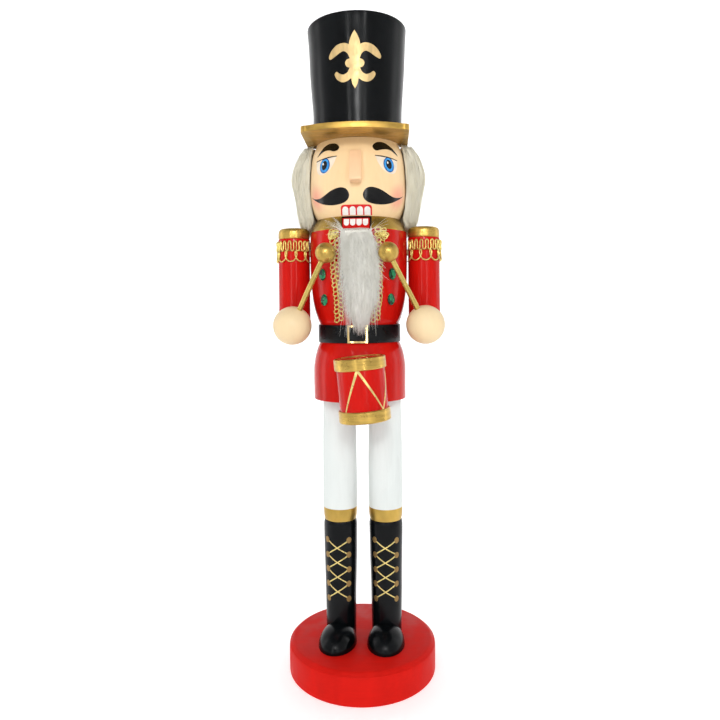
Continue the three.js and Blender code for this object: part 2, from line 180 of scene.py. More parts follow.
def smooth_outline(points, sharp=(), steps=6):
    """A closed outline through points, with corners at the indices in sharp."""
    if not sharp:
        return curve_through(points, steps, closed=True)
    sharp = sorted(sharp)
    n = len(points)
    out = []
    for a, b in zip(sharp, sharp[1:] + [sharp[0] + n]):
        run = [points[i % n] for i in range(a, b + 1)]
        out += list(curve_through(run, steps)[:-1])
    return np.array(out)


def soft_profile(profile, edge=0.9, corner=24, steps=5):
    """A turned profile with smooth runs, and with its corners rounded off."""
    p = [np.array(q, float) for q in profile]
    turn = [0.0] * len(p)
    for i in range(1, len(p) - 1):
        a, b = p[i] - p[i - 1], p[i + 1] - p[i]
        turn[i] = abs(math.degrees(math.atan2(a[0] * b[1] - a[1] * b[0], a @ b)))
    breaks = [0] + [i for i in range(1, len(p) - 1) if turn[i] > corner] + [len(p) - 1]
    line = []
    for a, b in zip(breaks, breaks[1:]):
        run = curve_through(p[a : b + 1], steps) if b - a > 1 else np.array([p[a], p[b]])
        if a:
            entry = run[0] + (run[1] - run[0]) * min(1, edge / np.linalg.norm(run[1] - run[0]))
            back = line[-1] + (line[-2] - line[-1]) * min(1, edge / np.linalg.norm(line[-2] - line[-1]))
            knee = run[0]
            line[-1] = back
            for t in (0.25, 0.5, 0.75):
                line.append((1 - t) ** 2 * back + 2 * t * (1 - t) * knee + t * t * entry)
            run = np.concatenate([[entry], run[1:]])
        line += list(run)
    return np.array(line)


def node_profile(node):
    """The [radius, height] profile that a turned CAD node was made from, read back from its mesh."""
    co = np.array([v.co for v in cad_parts[node].data.vertices], float) / MM
    centre = ((co[:, 0].min() + co[:, 0].max()) / 2, 0.0)
    radius = np.hypot(co[:, 0] - centre[0], co[:, 1])
    rings = {}
    for r, z in zip(radius, co[:, 2]):
        rings.setdefault(round(z, 2), []).append(r)
    count = {z: sum(abs(r - max(rs)) < 0.02 for r in rs) for z, rs in rings.items()}
    # The outside's rings are full circles of points. Sockets and cuts leave fewer points, or smaller rings.
    enough, least = 0.4 * max(count.values()), 0.6 * radius.max()
    found = [(max(rs), z) for z, rs in rings.items() if count[z] > enough and max(rs) > least]
    return sorted(found, key=lambda q: q[1]), centre


class Turned:
    """A turned surface round a vertical axis. Angle 0 is the front, and grows to the figure's left."""

    def __init__(self, profile, centre=(0, 0), place=None, wobble=0.0, seed=1):
        self.line = np.array(profile, float)
        self.centre = centre
        self.place = place
        self.wobble = wobble
        self.phases = np.random.default_rng(seed).uniform(0, 2 * math.pi, 6)

    def uneven(self, angle, z):
        """How far hand sanding leaves the surface from round."""
        waves = [
            np.sin(0.04 * (k + 1) * z + self.phases[k]) * np.cos((k + 1) * angle + self.phases[5 - k])
            for k in range(3)
        ]
        return self.wobble * sum(waves)

    def radius(self, z):
        order = np.argsort(self.line[:, 1], kind="stable")
        return np.interp(z, self.line[order, 1], self.line[order, 0])

    def point(self, angle, z, lift=0.0):
        angle, z = np.asarray(angle, float), np.asarray(z, float)
        r = self.radius(z) + self.uneven(angle, z) + lift
        p = np.stack(
            [self.centre[0] + r * np.sin(angle), self.centre[1] - r * np.cos(angle), z + 0 * angle], -1
        )
        return p if self.place is None else p @ self.place[0].T + self.place[1]

    def solid(self, sides=128):
        """The turned solid's verts and faces."""
        angle = full_turn(sides)
        rings = []
        for r, z in self.line:
            ring = r + self.uneven(angle, z) * min(1, r / 10)
            x, y = self.centre[0] + ring * np.sin(angle), self.centre[1] - ring * np.cos(angle)
            rings.append(np.stack([x, y, 0 * angle + z], -1))
        verts, faces = capped_rings(rings, [[*self.centre, self.line[end][1]] for end in (0, -1)])
        if self.place is not None:
            verts = verts @ self.place[0].T + self.place[1]
        return verts, faces


def tube(points, radius, sides=8, closed=False, flat=1.0):
    """A cord of round or flattened section along points, with closed ends."""
    p = np.asarray(points, float)
    n = len(p)
    r = np.broadcast_to(np.asarray(radius, float), (n,))
    ahead = np.roll(p, -1, 0) - np.roll(p, 1, 0)
    if not closed:
        ahead[0], ahead[-1] = p[1] - p[0], p[-1] - p[-2]
    ahead /= np.linalg.norm(ahead, axis=1)[:, None]
    side = np.cross(ahead[0], [0.3, 0.5, 0.8])
    a = full_turn(sides)
    rows = []
    for i in range(n):
        side = side - ahead[i] * (side @ ahead[i])
        side /= np.linalg.norm(side)
        up = np.cross(ahead[i], side)
        rows.append(p[i] + r[i] * (np.cos(a)[:, None] * side + flat * np.sin(a)[:, None] * up))
    verts = np.concatenate(rows)
    faces = grid_faces(n, sides)
    if closed:
        faces += wrap_faces(n, sides)
    else:
        faces.append(tuple(reversed(range(sides))))
        faces.append(tuple((n - 1) * sides + j for j in range(sides)))
    return verts, faces


def panel(outline, step=3.0):
    """A flat outline filled with faces small enough to bend: its 2-D points, faces and border edges."""
    bm = bmesh.new()
    face = bm.faces.new([bm.verts.new((x, y, 0)) for x, y in outline])
    face.normal_update()
    bmesh.ops.triangulate(bm, faces=[face])
    for axis in (0, 1):
        values = [p[axis] for p in outline]
        first = math.ceil(min(values) / step) * step
        for value in np.arange(first, max(values), step):
            at, along = [0, 0, 0], [0, 0, 0]
            at[axis], along[axis] = float(value) + 1e-4, 1
            geometry = bm.verts[:] + bm.edges[:] + bm.faces[:]
            bmesh.ops.bisect_plane(bm, geom=geometry, dist=1e-5, plane_co=at, plane_no=along)
    bmesh.ops.remove_doubles(bm, verts=bm.verts[:], dist=1e-4)
    bmesh.ops.recalc_face_normals(bm, faces=bm.faces[:])
    if sum(f.calc_area() * f.normal.z for f in bm.faces) < 0:
        bmesh.ops.reverse_faces(bm, faces=bm.faces[:])
    bm.verts.index_update()
    points = np.array([v.co[:2] for v in bm.verts])
    faces = [[v.index for v in f.verts] for f in bm.faces]
    border = []
    for e in bm.edges:
        if len(e.link_faces) == 1:
            loop = e.link_loops[0]
            border.append((loop.vert.index, loop.link_loop_next.vert.index))
    bm.free()
    return points, faces, border


def layer(outline, mapping, lift, sink=0.25, step=3.0):
    """A thin layer of paint in the shape of outline, laid on the surface that mapping(x, y, lift) gives."""
    points, faces, border = panel(outline, step)
    top = mapping(points[:, 0], points[:, 1], lift)
    bottom = mapping(points[:, 0], points[:, 1], -sink)
    n = len(points)
    all_faces = [tuple(f) for f in faces] + [tuple(n + i for i in reversed(f)) for f in faces]
    all_faces += [(b, a, n + a, n + b) for a, b in border]
    return np.concatenate([top, bottom]), all_faces


def stroke(points, widths):
    """The outline of a brush stroke along points, with round ends."""
    p = np.asarray(points, float)
    w = np.broadcast_to(np.asarray(widths, float), (len(p),)) / 2
    ahead = np.gradient(p, axis=0)
    ahead /= np.linalg.norm(ahead, axis=1)[:, None]
    side = np.stack([-ahead[:, 1], ahead[:, 0]], 1)
    left, right = p + side * w[:, None], p - side * w[:, None]

    def cap(centre, direction, normal, half):
        a = np.linspace(0, math.pi, 6)[1:-1]
        return [centre + half * (math.cos(t) * normal + math.sin(t) * direction) for t in a]

    end = cap(p[-1], ahead[-1], side[-1], w[-1])
    start = cap(p[0], -ahead[0], -side[0], w[0])
    return np.array([*left, *end, *right[::-1], *start])


def ellipse(centre, half_wide, half_tall, tilt=0.0, n=40):
    a = full_turn(n)
    x, y = half_wide * np.cos(a), half_tall * np.sin(a)
    c, s = math.cos(math.radians(tilt)), math.sin(math.radians(tilt))
    return np.stack([centre[0] + c * x - s * y, centre[1] + s * x + c * y], 1)


def mirrored(points):
    p = np.array(points, float)[::-1]
    p[:, 0] *= -1
    return p


def hairs(paths, root, tip):
    """Tapered three-sided hairs along paths, an array of hair, step and xyz."""
    n, k, _ = paths.shape
    ahead = np.gradient(paths, axis=1)
    ahead /= np.maximum(np.linalg.norm(ahead, axis=2, keepdims=True), 1e-9)
    spin = rng.normal(size=(n, 1, 3))
    side = np.cross(ahead, spin)
    side /= np.maximum(np.linalg.norm(side, axis=2, keepdims=True), 1e-9)
    up = np.cross(ahead, side)
    t = np.linspace(0, 1, k)
    r = (root + (tip - root) * t**1.6)[None, :, None]
    rings = [
        paths + r * (math.cos(a) * side + math.sin(a) * up) for a in (0, 2 * math.pi / 3, 4 * math.pi / 3)
    ]
    verts = np.stack(rings, 2).reshape(-1, 3)
    base = (np.arange(n) * k * 3)[:, None, None, None]
    row = (np.arange(k - 1) * 3)[None, :, None, None]
    j = np.arange(3)
    quad = np.stack([j, (j + 1) % 3, (j + 1) % 3 + 3, j + 3], 1)[None, None]
    quads = (base + row + quad).reshape(-1, 4)
    ends = np.concatenate(
        [
            (np.arange(n) * k * 3)[:, None] + np.array([2, 1, 0]),
            (np.arange(n) * k * 3 + (k - 1) * 3)[:, None] + np.array([0, 1, 2]),
        ]
    )
    return verts, quads.tolist() + ends.tolist()


# ---------------------------------------------------------------- materials


class Paint:
    """A Principled material with helpers for the procedural detail that drives it."""

    def __init__(self, name, colour, roughness=0.4, metallic=0.0, **values):
        self.mat = bpy.data.materials.new(name)
        self.mat.use_nodes = True
        self.tree = self.mat.node_tree
        self.bsdf = self.tree.nodes["Principled BSDF"]
        self.bsdf.inputs["Base Color"].default_value = (*colour, 1)
        self.bsdf.inputs["Roughness"].default_value = roughness
        self.bsdf.inputs["Metallic"].default_value = metallic
        for key, value in values.items():
            self.bsdf.inputs[key.replace("_", " ")].default_value = value
        self.coords = self.tree.nodes.new("ShaderNodeTexCoord").outputs["Object"]
        self.normal = None

    def node(self, kind, links=(), **settings):
        made = self.tree.nodes.new(kind)
        for key, value in settings.items():
            if hasattr(made, key):
                setattr(made, key, value)
            else:
                made.inputs[key.replace("_", " ")].default_value = value
        for socket, source in links:
            self.tree.links.new(source, made.inputs[socket])
        return made

    def stretched(self, scale):
        return self.node("ShaderNodeMapping", [("Vector", self.coords)], Scale=scale).outputs["Vector"]

    def noise(self, scale, detail=3.0, roughness=0.5):
        """Noise whose features are about 1/scale metres across, along X, Y and Z."""
        scale = scale if isinstance(scale, tuple) else (scale, scale, scale)
        made = self.node("ShaderNodeTexNoise", [("Vector", self.stretched(scale))], Scale=1.0, Detail=detail)
        made.inputs["Roughness"].default_value = roughness
        return made.outputs["Fac"]

    def cells(self, scale):
        made = self.node("ShaderNodeTexVoronoi", [("Vector", self.coords)], Scale=float(scale))
        return made.outputs["Color"], made.outputs["Distance"]

    def ranged(self, value, from_low, from_high, to_low, to_high, smooth=False):
        made = self.node("ShaderNodeMapRange", [("Value", value)])
        made.interpolation_type = "SMOOTHSTEP" if smooth else "LINEAR"
        for i, v in enumerate((from_low, from_high, to_low, to_high)):
            made.inputs[i + 1].default_value = v
        return made.outputs["Result"]

    def math(self, operation, a, b=None):
        made = self.tree.nodes.new("ShaderNodeMath")
        made.operation = operation
        for i, v in enumerate((a, b)):
            if isinstance(v, bpy.types.NodeSocket):
                self.tree.links.new(v, made.inputs[i])
            elif v is not None:
                made.inputs[i].default_value = v
        return made.outputs[0]

    def height(self):
        split = self.node("ShaderNodeSeparateXYZ", [("Vector", self.coords)])
        return split.outputs["Z"]

    def near(self, point_mm, inner, outer):
        """1 within inner mm of a point, fading to 0 at outer mm."""
        made = self.tree.nodes.new("ShaderNodeVectorMath")
        made.operation = "DISTANCE"
        self.tree.links.new(self.coords, made.inputs[0])
        made.inputs[1].default_value = [c * MM for c in point_mm]
        return self.ranged(made.outputs["Value"], inner * MM, outer * MM, 1.0, 0.0, smooth=True)

    def mix(self, amount, a, b):
        made = self.tree.nodes.new("ShaderNodeMix")
        made.data_type = "RGBA"
        for i, v in ((0, amount), (6, a), (7, b)):
            if isinstance(v, bpy.types.NodeSocket):
                self.tree.links.new(v, made.inputs[i])
            elif isinstance(v, tuple):
                made.inputs[i].default_value = (*v, 1)
            else:
                made.inputs[i].default_value = v
        return made.outputs[2]

    def set(self, socket, source):
        self.tree.links.new(source, self.bsdf.inputs[socket])
        return self

    def tint(self, value, low, high, dark, light):
        """Base colour that goes from dark to light as value goes from low to high."""
        return self.set("Base Color", self.mix(self.ranged(value, low, high, 0, 1), dark, light))

    def bump(self, height, distance, strength=1.0):
        made = self.node("ShaderNodeBump", [("Height", height)], Strength=strength, Distance=distance * MM)
        if self.normal is not None:
            self.tree.links.new(self.normal, made.inputs["Normal"])
        self.normal = made.outputs["Normal"]
        self.tree.links.new(self.normal, self.bsdf.inputs["Normal"])
        return self


def shade(colour, factor):
    return tuple(c * factor for c in colour)


def grain_scale(axis):
    """Wood grain runs along this axis: fine across it and long along it."""
    scale = [520.0, 520.0, 520.0]
    scale["XYZ".index(axis)] = 38.0
    return tuple(scale)


def painted_wood(name, colour, roughness=0.13, grain=0.07, axis="Z", coat=0.0, mottle=0.12, shine=0.13):
    """Brushed-on gloss paint over turned wood: grain shows through faintly, and the film is uneven."""
    p = Paint(name, colour, roughness, Coat_Weight=coat, Coat_Roughness=0.12, Specular_IOR_Level=shine)
    tone = p.noise((60.0, 60.0, 18.0), 2.0)
    fine = p.noise(grain_scale(axis), 3.0)
    amount = p.math("ADD", p.math("MULTIPLY", tone, 0.7), p.math("MULTIPLY", fine, 0.3))
    p.tint(amount, 0.35, 0.65, shade(colour, 1 - mottle), shade(colour, 1 + mottle))
    p.set("Roughness", p.ranged(tone, 0.35, 0.65, roughness * 0.75, roughness * 1.35))
    p.bump(fine, grain, 0.6)
    p.bump(p.noise(130.0, 2.0), 0.12, 0.35)
    p.bump(p.noise(900.0, 2.0), 0.012, 0.5)
    return p


GOLD = (0.55, 0.36, 0.085)
GOLD_DARK = (0.40, 0.25, 0.05)


def gold_paint(name, colour=GOLD, roughness=0.36, metallic=0.85, brush=(220.0, 220.0, 60.0), flake=0.012):
    """Brushed metallic paint with fine flakes and slightly uneven cover."""
    p = Paint(name, colour, roughness, metallic)
    tone = p.noise(brush, 3.0)
    p.tint(tone, 0.35, 0.65, shade(colour, 0.82), shade(colour, 1.15))
    p.set("Roughness", p.ranged(p.noise(220.0), 0.35, 0.65, roughness * 0.85, roughness * 1.2))
    p.bump(p.noise(2200.0, 1.0), flake, 0.6)
    p.bump(p.noise(300.0, 2.0), 0.04, 0.5)
    return p


def gold_above(p, level, gold=GOLD):
    """Turns the paint gold above a height, along a slightly hand-painted line."""
    ragged = 0.25  # how far the line strays
    wander = p.math("MULTIPLY", p.math("SUBTRACT", p.noise(160.0, 2.0), 0.5), ragged * MM * 2)
    level_here = p.math("ADD", p.height(), wander)
    side = p.math("GREATER_THAN", level_here, level * MM)
    base = p.bsdf.inputs["Base Color"].links[0].from_socket
    rough = p.bsdf.inputs["Roughness"].links[0].from_socket
    tone = p.noise((70.0, 70.0, 30.0), 3.0)
    gold_colour = p.mix(p.ranged(tone, 0.35, 0.65, 0, 1), shade(gold, 0.82), shade(gold, 1.15))
    p.set("Base Color", p.mix(side, base, gold_colour))
    p.set("Metallic", p.math("MULTIPLY", side, 0.85))
    p.set("Roughness", p.math("ADD", rough, p.math("MULTIPLY", side, 0.12)))
    return p


RED = (0.55, 0.007, 0.004)
BLACK = (0.002, 0.0028, 0.0035)
WHITE = (0.74, 0.785, 0.765)
FLESH = (0.89, 0.64, 0.36)
BLUSH = (0.86, 0.36, 0.24)


def head_paint():
    p = painted_wood("head_paint", FLESH, roughness=0.34, grain=0.02, coat=0.2, mottle=0.035)
    colour = p.bsdf.inputs["Base Color"].links[0].from_socket
    for x in (-1, 1):
        colour = p.mix(p.math("MULTIPLY", p.near((x * 38.0, -26.0, 437.0), 2, 16), 0.9), colour, BLUSH)
        colour = p.mix(p.math("MULTIPLY", p.near((x * 42.0, -18.0, 444.0), 1, 15), 0.35), colour, BLUSH)
    p.set("Base Color", colour)
    return p


def flat_paint(name, colour, roughness=0.3, coat=0.0, shine=0.25):
    p = Paint(name, colour, roughness, Coat_Weight=coat, Coat_Roughness=0.1, Specular_IOR_Level=shine)
    tone = p.noise(150.0)
    p.tint(tone, 0.3, 0.7, shade(colour, 0.9), shade(colour, 1.08))
    p.bump(p.noise(260.0, 2.0), 0.05, 0.4)
    return p


def iris_paint(name, blue, deep):
    p = Paint(name, blue, 0.25, Specular_IOR_Level=0.3)
    return p.tint(p.noise((500.0, 500.0, 160.0), 2.0), 0.4, 0.62, blue, deep)


def bare_wood():
    light, dark = (0.62, 0.43, 0.24), (0.42, 0.26, 0.13)
    p = Paint("bare_wood", light, 0.6)
    rings = p.noise((420.0, 420.0, 26.0), 4.0)
    p.tint(rings, 0.35, 0.65, dark, light)
    p.bump(rings, 0.08, 0.6)
    return p


def steel():
    p = Paint("steel", (0.56, 0.57, 0.58), 0.28, 1.0)
    p.set("Roughness", p.ranged(p.noise(400.0), 0.3, 0.7, 0.2, 0.4))
    p.bump(p.noise((60.0, 1400.0, 1400.0)), 0.01, 0.4)
    return p


def fur_fibre(name, light, dark):
    """Soft matt fibres whose tone changes from lock to lock."""
    p = Paint(name, light, 0.62, Sheen_Weight=0.6, Sheen_Roughness=0.5)
    return p.tint(p.noise((230.0, 230.0, 40.0), 3.0), 0.36, 0.62, dark, light)


def fur_core(name, light, dark):
    """The dense underfur that the single hairs stand on."""
    p = Paint(name, dark, 0.85, Sheen_Weight=0.3, Sheen_Roughness=0.6)
    strand = p.noise((1500.0, 1500.0, 90.0), 3.0, 0.6)
    p.tint(strand, 0.38, 0.62, dark, light)
    p.bump(strand, 0.5, 1.0)
    return p


def backing_cloth():
    """The knitted back of the fur strip, seen at the beard's top edge."""
    light, dark = (0.70, 0.60, 0.52), (0.46, 0.36, 0.31)
    p = Paint("fur_backing", light, 0.85)
    scale = (2400.0, 2400.0, 2400.0)
    wave_a = p.node("ShaderNodeTexWave", [("Vector", p.stretched(scale))], Scale=0.32, Distortion=0.4)
    wave_b = p.node("ShaderNodeTexWave", [("Vector", p.stretched(scale))], Scale=0.32, Distortion=0.4)
    wave_a.bands_direction, wave_b.bands_direction = "X", "Z"
    weave = p.math("MULTIPLY", wave_a.outputs["Fac"], wave_b.outputs["Fac"])
    p.set("Base Color", p.mix(weave, dark, light))
    p.bump(weave, 0.15, 1.0)
    return p


def vinyl():
    p = Paint("belt_vinyl", (0.0035, 0.004, 0.005), 0.34, Specular_IOR_Level=0.18)
    _, pebble = p.cells(1500)
    p.set("Roughness", p.ranged(p.noise(200.0), 0.3, 0.7, 0.25, 0.42))
    p.bump(pebble, 0.05, 0.6)
    return p


def braid_thread(name, colour):
    """Metal-wrapped thread: bright, with a fine twist across it."""
    p = Paint(name, colour, 0.3, 0.7)
    twist = p.noise((1600.0, 1600.0, 1600.0), 2.0)
    p.tint(twist, 0.38, 0.62, shade(colour, 0.6), shade(colour, 1.25))
    p.bump(twist, 0.08, 0.9)
    return p


def braid_ground():
    p = Paint("braid_ground", (0.34, 0.22, 0.05), 0.6, 0.5)
    weave = p.noise(1400.0, 2.0)
    p.tint(weave, 0.4, 0.6, (0.18, 0.10, 0.02), (0.5, 0.34, 0.08))
    p.bump(weave, 0.12, 1.0)
    return p


def stone():
    """A foil-backed acrylic stone: each facet takes its own depth of green."""
    p = Paint("green_stone", (0.0, 0.10, 0.04), 0.08, Specular_IOR_Level=0.5)
    colour, _ = p.cells(430)
    split = p.node("ShaderNodeSeparateColor", [("Color", colour)])
    depth = p.ranged(split.outputs[0], 0.25, 0.85, 0, 1, smooth=True)
    p.set("Base Color", p.mix(depth, (0.0, 0.028, 0.014), (0.004, 0.25, 0.09)))
    return p


red = painted_wood("red_gloss", RED)
red_y = painted_wood("red_gloss_forearm", RED, axis="Y")
base_red = painted_wood("red_base", (0.60, 0.010, 0.006), 0.42, 0.05, axis="X", mottle=0.08, shine=0.05)
torso_paint = gold_above(painted_wood("tunic_and_collar", RED), COLLAR_LEVEL, GOLD_DARK)
black = painted_wood("black_gloss", BLACK, 0.2, 0.07, mottle=0.3, shine=0.13)
boot_paint = painted_wood("boot_and_band", BLACK, 0.2, 0.05, mottle=0.3, shine=0.16)
gold_above(boot_paint, BOOT_BAND_LEVEL)
white = painted_wood("white_gloss", WHITE, roughness=0.3, grain=0.09, mottle=0.03)
flesh = head_paint()
hand_paint = painted_wood("hand_paint", (0.85, 0.665, 0.405), 0.38, 0.03, coat=0.12, mottle=0.04)
nose_paint = painted_wood("nose_paint", (0.92, 0.60, 0.36), roughness=0.34, grain=0.02, coat=0.2, mottle=0.03)
gold = gold_paint("gold_paint", roughness=0.3)
visor_gold = gold_paint("visor_gold", (0.50, 0.31, 0.07), 0.34, 0.85, (40.0, 260.0, 260.0), 0.03)
gold_band = gold_paint("gold_band", roughness=0.3, brush=(45.0, 45.0, 420.0))
bronze = gold_paint("eyelet_bronze", (0.30, 0.19, 0.07), 0.34)
gold_line = gold_paint("gold_line", (0.74, 0.60, 0.22), 0.30, 0.65)
gold_pale = gold_paint("gold_pale", (0.66, 0.47, 0.21), 0.44, 0.45)
stick_gold = gold_paint("stick_gold", (0.62, 0.47, 0.13), 0.24, 0.85, (40.0, 40.0, 40.0), 0.004)
line_black = flat_paint("feature_black", (0.003, 0.003, 0.0035), 0.16, 0.05, 0.25)
line_white = flat_paint("feature_white", (0.85, 0.83, 0.78), 0.3)
eye_white = flat_paint("eye_white", (0.86, 0.74, 0.60), 0.35)
mouth_red = flat_paint("mouth_red", (0.66, 0.012, 0.014), 0.3)
# Painted shade: a black that stands in for the shadow inside the lever's slot and over the jaw.
painted_slot_shade = flat_paint("painted_slot_shade", (0.006, 0.006, 0.006), 0.7, 0.0, 0.1)
iris = iris_paint("iris_blue", (0.05, 0.36, 0.80), (0.03, 0.25, 0.68))
iris_rim = iris_paint("iris_rim", (0.012, 0.10, 0.36), (0.008, 0.06, 0.24))
wood = bare_wood()
metal = steel()
belt_vinyl = vinyl()
foil = gold_paint("buckle_foil", (0.92, 0.68, 0.30), 0.16, 1.0)
thread = braid_thread("braid_thread", (0.80, 0.61, 0.15))
# A lighter copy of the braid thread, used as painted highlight: thin cords on the braids, and the whole knot
# at the front braid's top.
thread_painted_highlight = braid_thread("braid_thread_bright", (0.95, 0.78, 0.28))
ground = braid_ground()
gem = stone()
beard_fibre = fur_fibre("beard_fibre", (0.95, 0.94, 0.87), (0.84, 0.83, 0.75))
beard_core = fur_core("beard_underfur", (0.88, 0.87, 0.80), (0.72, 0.70, 0.62))
hair_fibre = fur_fibre("hair_fibre", (0.99, 0.95, 0.79), (0.91, 0.86, 0.68))
hair_core = fur_core("hair_underfur", (0.95, 0.90, 0.74), (0.82, 0.76, 0.60))
backing = backing_cloth()


# ---------------------------------------------------------------- CAD nodes kept as they are


def dress_node(node, paint, bevel=0.0, segments=3, sharp=35):
    """Gives a CAD node its material, and softens its edges without touching its mesh."""
    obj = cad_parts[node]
    obj.data.materials.clear()
    obj.data.materials.append(paint.mat)
    obj.data.polygons.foreach_set("use_smooth", [True] * len(obj.data.polygons))
    weld = obj.modifiers.new("weld", "WELD")
    weld.merge_threshold = 0.02 * MM
    if bevel:
        soften = obj.modifiers.new("soften", "BEVEL")
        soften.width = bevel * MM
        soften.segments = segments
        soften.limit_method = "ANGLE"
        soften.angle_limit = math.radians(sharp)
        soften.harden_normals = False


for plain in ("waist_dowel", "hat_dowel", "drum_peg"):
    dress_node(plain, wood)
dress_node("lever_pin", metal)
for side in SIDES:
    for plain in ("hip_dowel", "neck_dowel", "shoulder_peg"):
        dress_node(f"{side}_{plain}", wood)
    dress_node(f"{side}_base_screw", metal)


# ---------------------------------------------------------------- turned pieces


def turned_piece(node, paint, slot, body=FIGURE, edge=0.9, wobble=0.07, sides=128, seed=1):
    """Redraws a turned CAD node with a finer surface, and gives back that surface and the piece."""
    profile, centre = node_profile(node)
    surface = Turned(soft_profile(profile, edge), centre, wobble=wobble, seed=seed)
    verts, faces = surface.solid(sides)
    made = make_piece(node + "_turned", verts, faces, paint.mat, body, slot, [node])
    return surface, made


turned_piece("base", base_red, "red_paint", edge=0.8, sides=160, wobble=0.05)
hat_surface, _ = turned_piece("hat", black, "black_paint", edge=0.5, wobble=0.10, sides=160, seed=3)
head_surface, _ = turned_piece("head", flesh, "flesh_paint", edge=1.2, wobble=0.04, seed=4)
turned_piece("tunic_skirt", red, "red_paint", edge=0.9, wobble=0.10, seed=5)
torso_surface, torso_piece = turned_piece("torso", torso_paint, "red_paint", edge=0.8, wobble=0.05, seed=6)
boots = {}
for side, x in SIDES.items():
    boots[side], _ = turned_piece(f"{side}_boot", boot_paint, "black_paint", edge=0.7, sides=96, seed=7 + x)
    turned_piece(f"{side}_leg", white, "white_paint", edge=0.8, sides=96, seed=11 + x)


def cut(obj, low, high):
    """Cuts a box-shaped hole in a piece."""
    mesh = bpy.data.meshes.new("cutter")
    bm = bmesh.new()
    bmesh.ops.create_cube(bm, size=1.0)
    low, high = np.array(low, float), np.array(high, float)
    for v in bm.verts:
        v.co = Vector(((low + high) / 2 + np.array(v.co) * (high - low)) * MM)
    bm.to_mesh(mesh)
    bm.free()
    cutter = bpy.data.objects.new("cutter", mesh)
    bpy.context.scene.collection.objects.link(cutter)
    change = obj.modifiers.new("cut", "BOOLEAN")
    change.operation, change.solver, change.object = "DIFFERENCE", "EXACT", cutter
    bpy.context.view_layer.update()
    evaluated = obj.evaluated_get(bpy.context.evaluated_depsgraph_get())
    result = bpy.data.meshes.new_from_object(evaluated)
    obj.modifiers.clear()
    old = obj.data
    result.materials.clear()
    for material in old.materials:
        result.materials.append(material)
    result.polygons.foreach_set("material_index", [0] * len(result.polygons))
    obj.data = result
    bpy.data.objects.remove(cutter)
    bpy.data.meshes.remove(old)
    obj.data.set_sharp_from_angle(angle=math.radians(CREASE))


def slot_torso(obj):
    """Cuts the lever's slot, deeper in front of the pin than behind it, and lays painted shade, in black, on
    its walls and floor inside.
    """
    half, front_floor, back_floor = 13.35, 364, 388
    top = box_mm("torso")[1][2] + 1
    obj.data.materials.append(painted_slot_shade.mat)
    cut(obj, (-half, -60, front_floor), (half, 8, top))
    cut(obj, (-half, 7, back_floor), (half, 60, top))
    for polygon in obj.data.polygons:
        at = np.array(polygon.center) / MM
        on_wall = abs(abs(at[0]) - half) < 0.02 and abs(polygon.normal.x) > 0.99
        on_floor = abs(at[0]) < half and at[1] > -44 and polygon.normal.z > 0.99
        if at[2] > front_floor - 1 and (on_wall or on_floor):
            polygon.material_index = 1


slot_torso(torso_piece)


# ---------------------------------------------------------------- visor, nose, jaw, feet

dress_node("visor", visor_gold, bevel=1.1, segments=4)
dress_node("nose", nose_paint, bevel=0.9, segments=4)
dress_node("jaw_lever", red, bevel=0.5)
dress_node("lever_handle", red, bevel=1.2, segments=4)
for side in SIDES:
    dress_node(f"{side}_foot", black, bevel=0.8, segments=3, sharp=50)


# ---------------------------------------------------------------- arms


def arm_pieces(side):
    """The upper arm and the forearm, mitred at the elbow. Gives back the x of the arm's axis."""
    body = f"{side}_arm"
    low, high = box_mm(f"{side}_upper_arm")
    cx, r = (low[0] + high[0]) / 2, (high[0] - low[0]) / 2
    top, back = high[2], (high[1] - low[1]) / 2
    elbow = low[2] + back  # height at which the mitre crosses the arm's own axis
    wrist = box_mm(f"{side}_forearm")[0][1]
    edge, mitre = 0.5, 0.15  # the rounding of the ends, and half of the gap at the elbow
    a = full_turn(72)

    def ring(radius, height_of):
        px, py = radius * np.cos(a), radius * np.sin(a)
        return np.stack([cx + px, py, height_of(px, py)], 1)

    upper = [ring(r - edge, lambda px, py: elbow - py + mitre + 0 * px)]
    upper.append(ring(r - 0.12 * edge, lambda px, py: elbow - py + mitre + edge * 0.9))
    upper.append(ring(r, lambda px, py: elbow - py + mitre + edge * 2))
    for level in np.linspace(elbow + r + 3, top - edge, 14):
        upper.append(ring(r, lambda px, py, z=level: z + 0 * px))
    upper.append(ring(r - 0.15 * edge, lambda px, py: top - 0.3 * edge + 0 * px))
    upper.append(ring(r - edge, lambda px, py: top + 0 * px))
    verts, faces = capped_rings(upper)
    make_piece(f"{side}_upper_arm_turned", verts, faces, red.mat, body, "red_paint", [f"{side}_upper_arm"])

    def lying(radius, depth_of):
        px, pz = radius * np.cos(a), radius * np.sin(a)
        return np.stack([cx + px, depth_of(px, pz), elbow + pz], 1)

    lower = [lying(r - edge, lambda px, pz: -pz - mitre + 0 * px)]
    lower.append(lying(r - 0.12 * edge, lambda px, pz: -pz - mitre - edge * 0.9))
    lower.append(lying(r, lambda px, pz: -pz - mitre - edge * 2))
    for depth in np.linspace(-r - 3, wrist + edge, 4):
        lower.append(lying(r, lambda px, pz, y=depth: y + 0 * px))
    lower.append(lying(r - edge, lambda px, pz: wrist + 0 * px))
    verts, faces = capped_rings(lower)
    make_piece(f"{side}_forearm_turned", verts, faces, red_y.mat, body, "red_paint", [f"{side}_forearm"])
    return cx


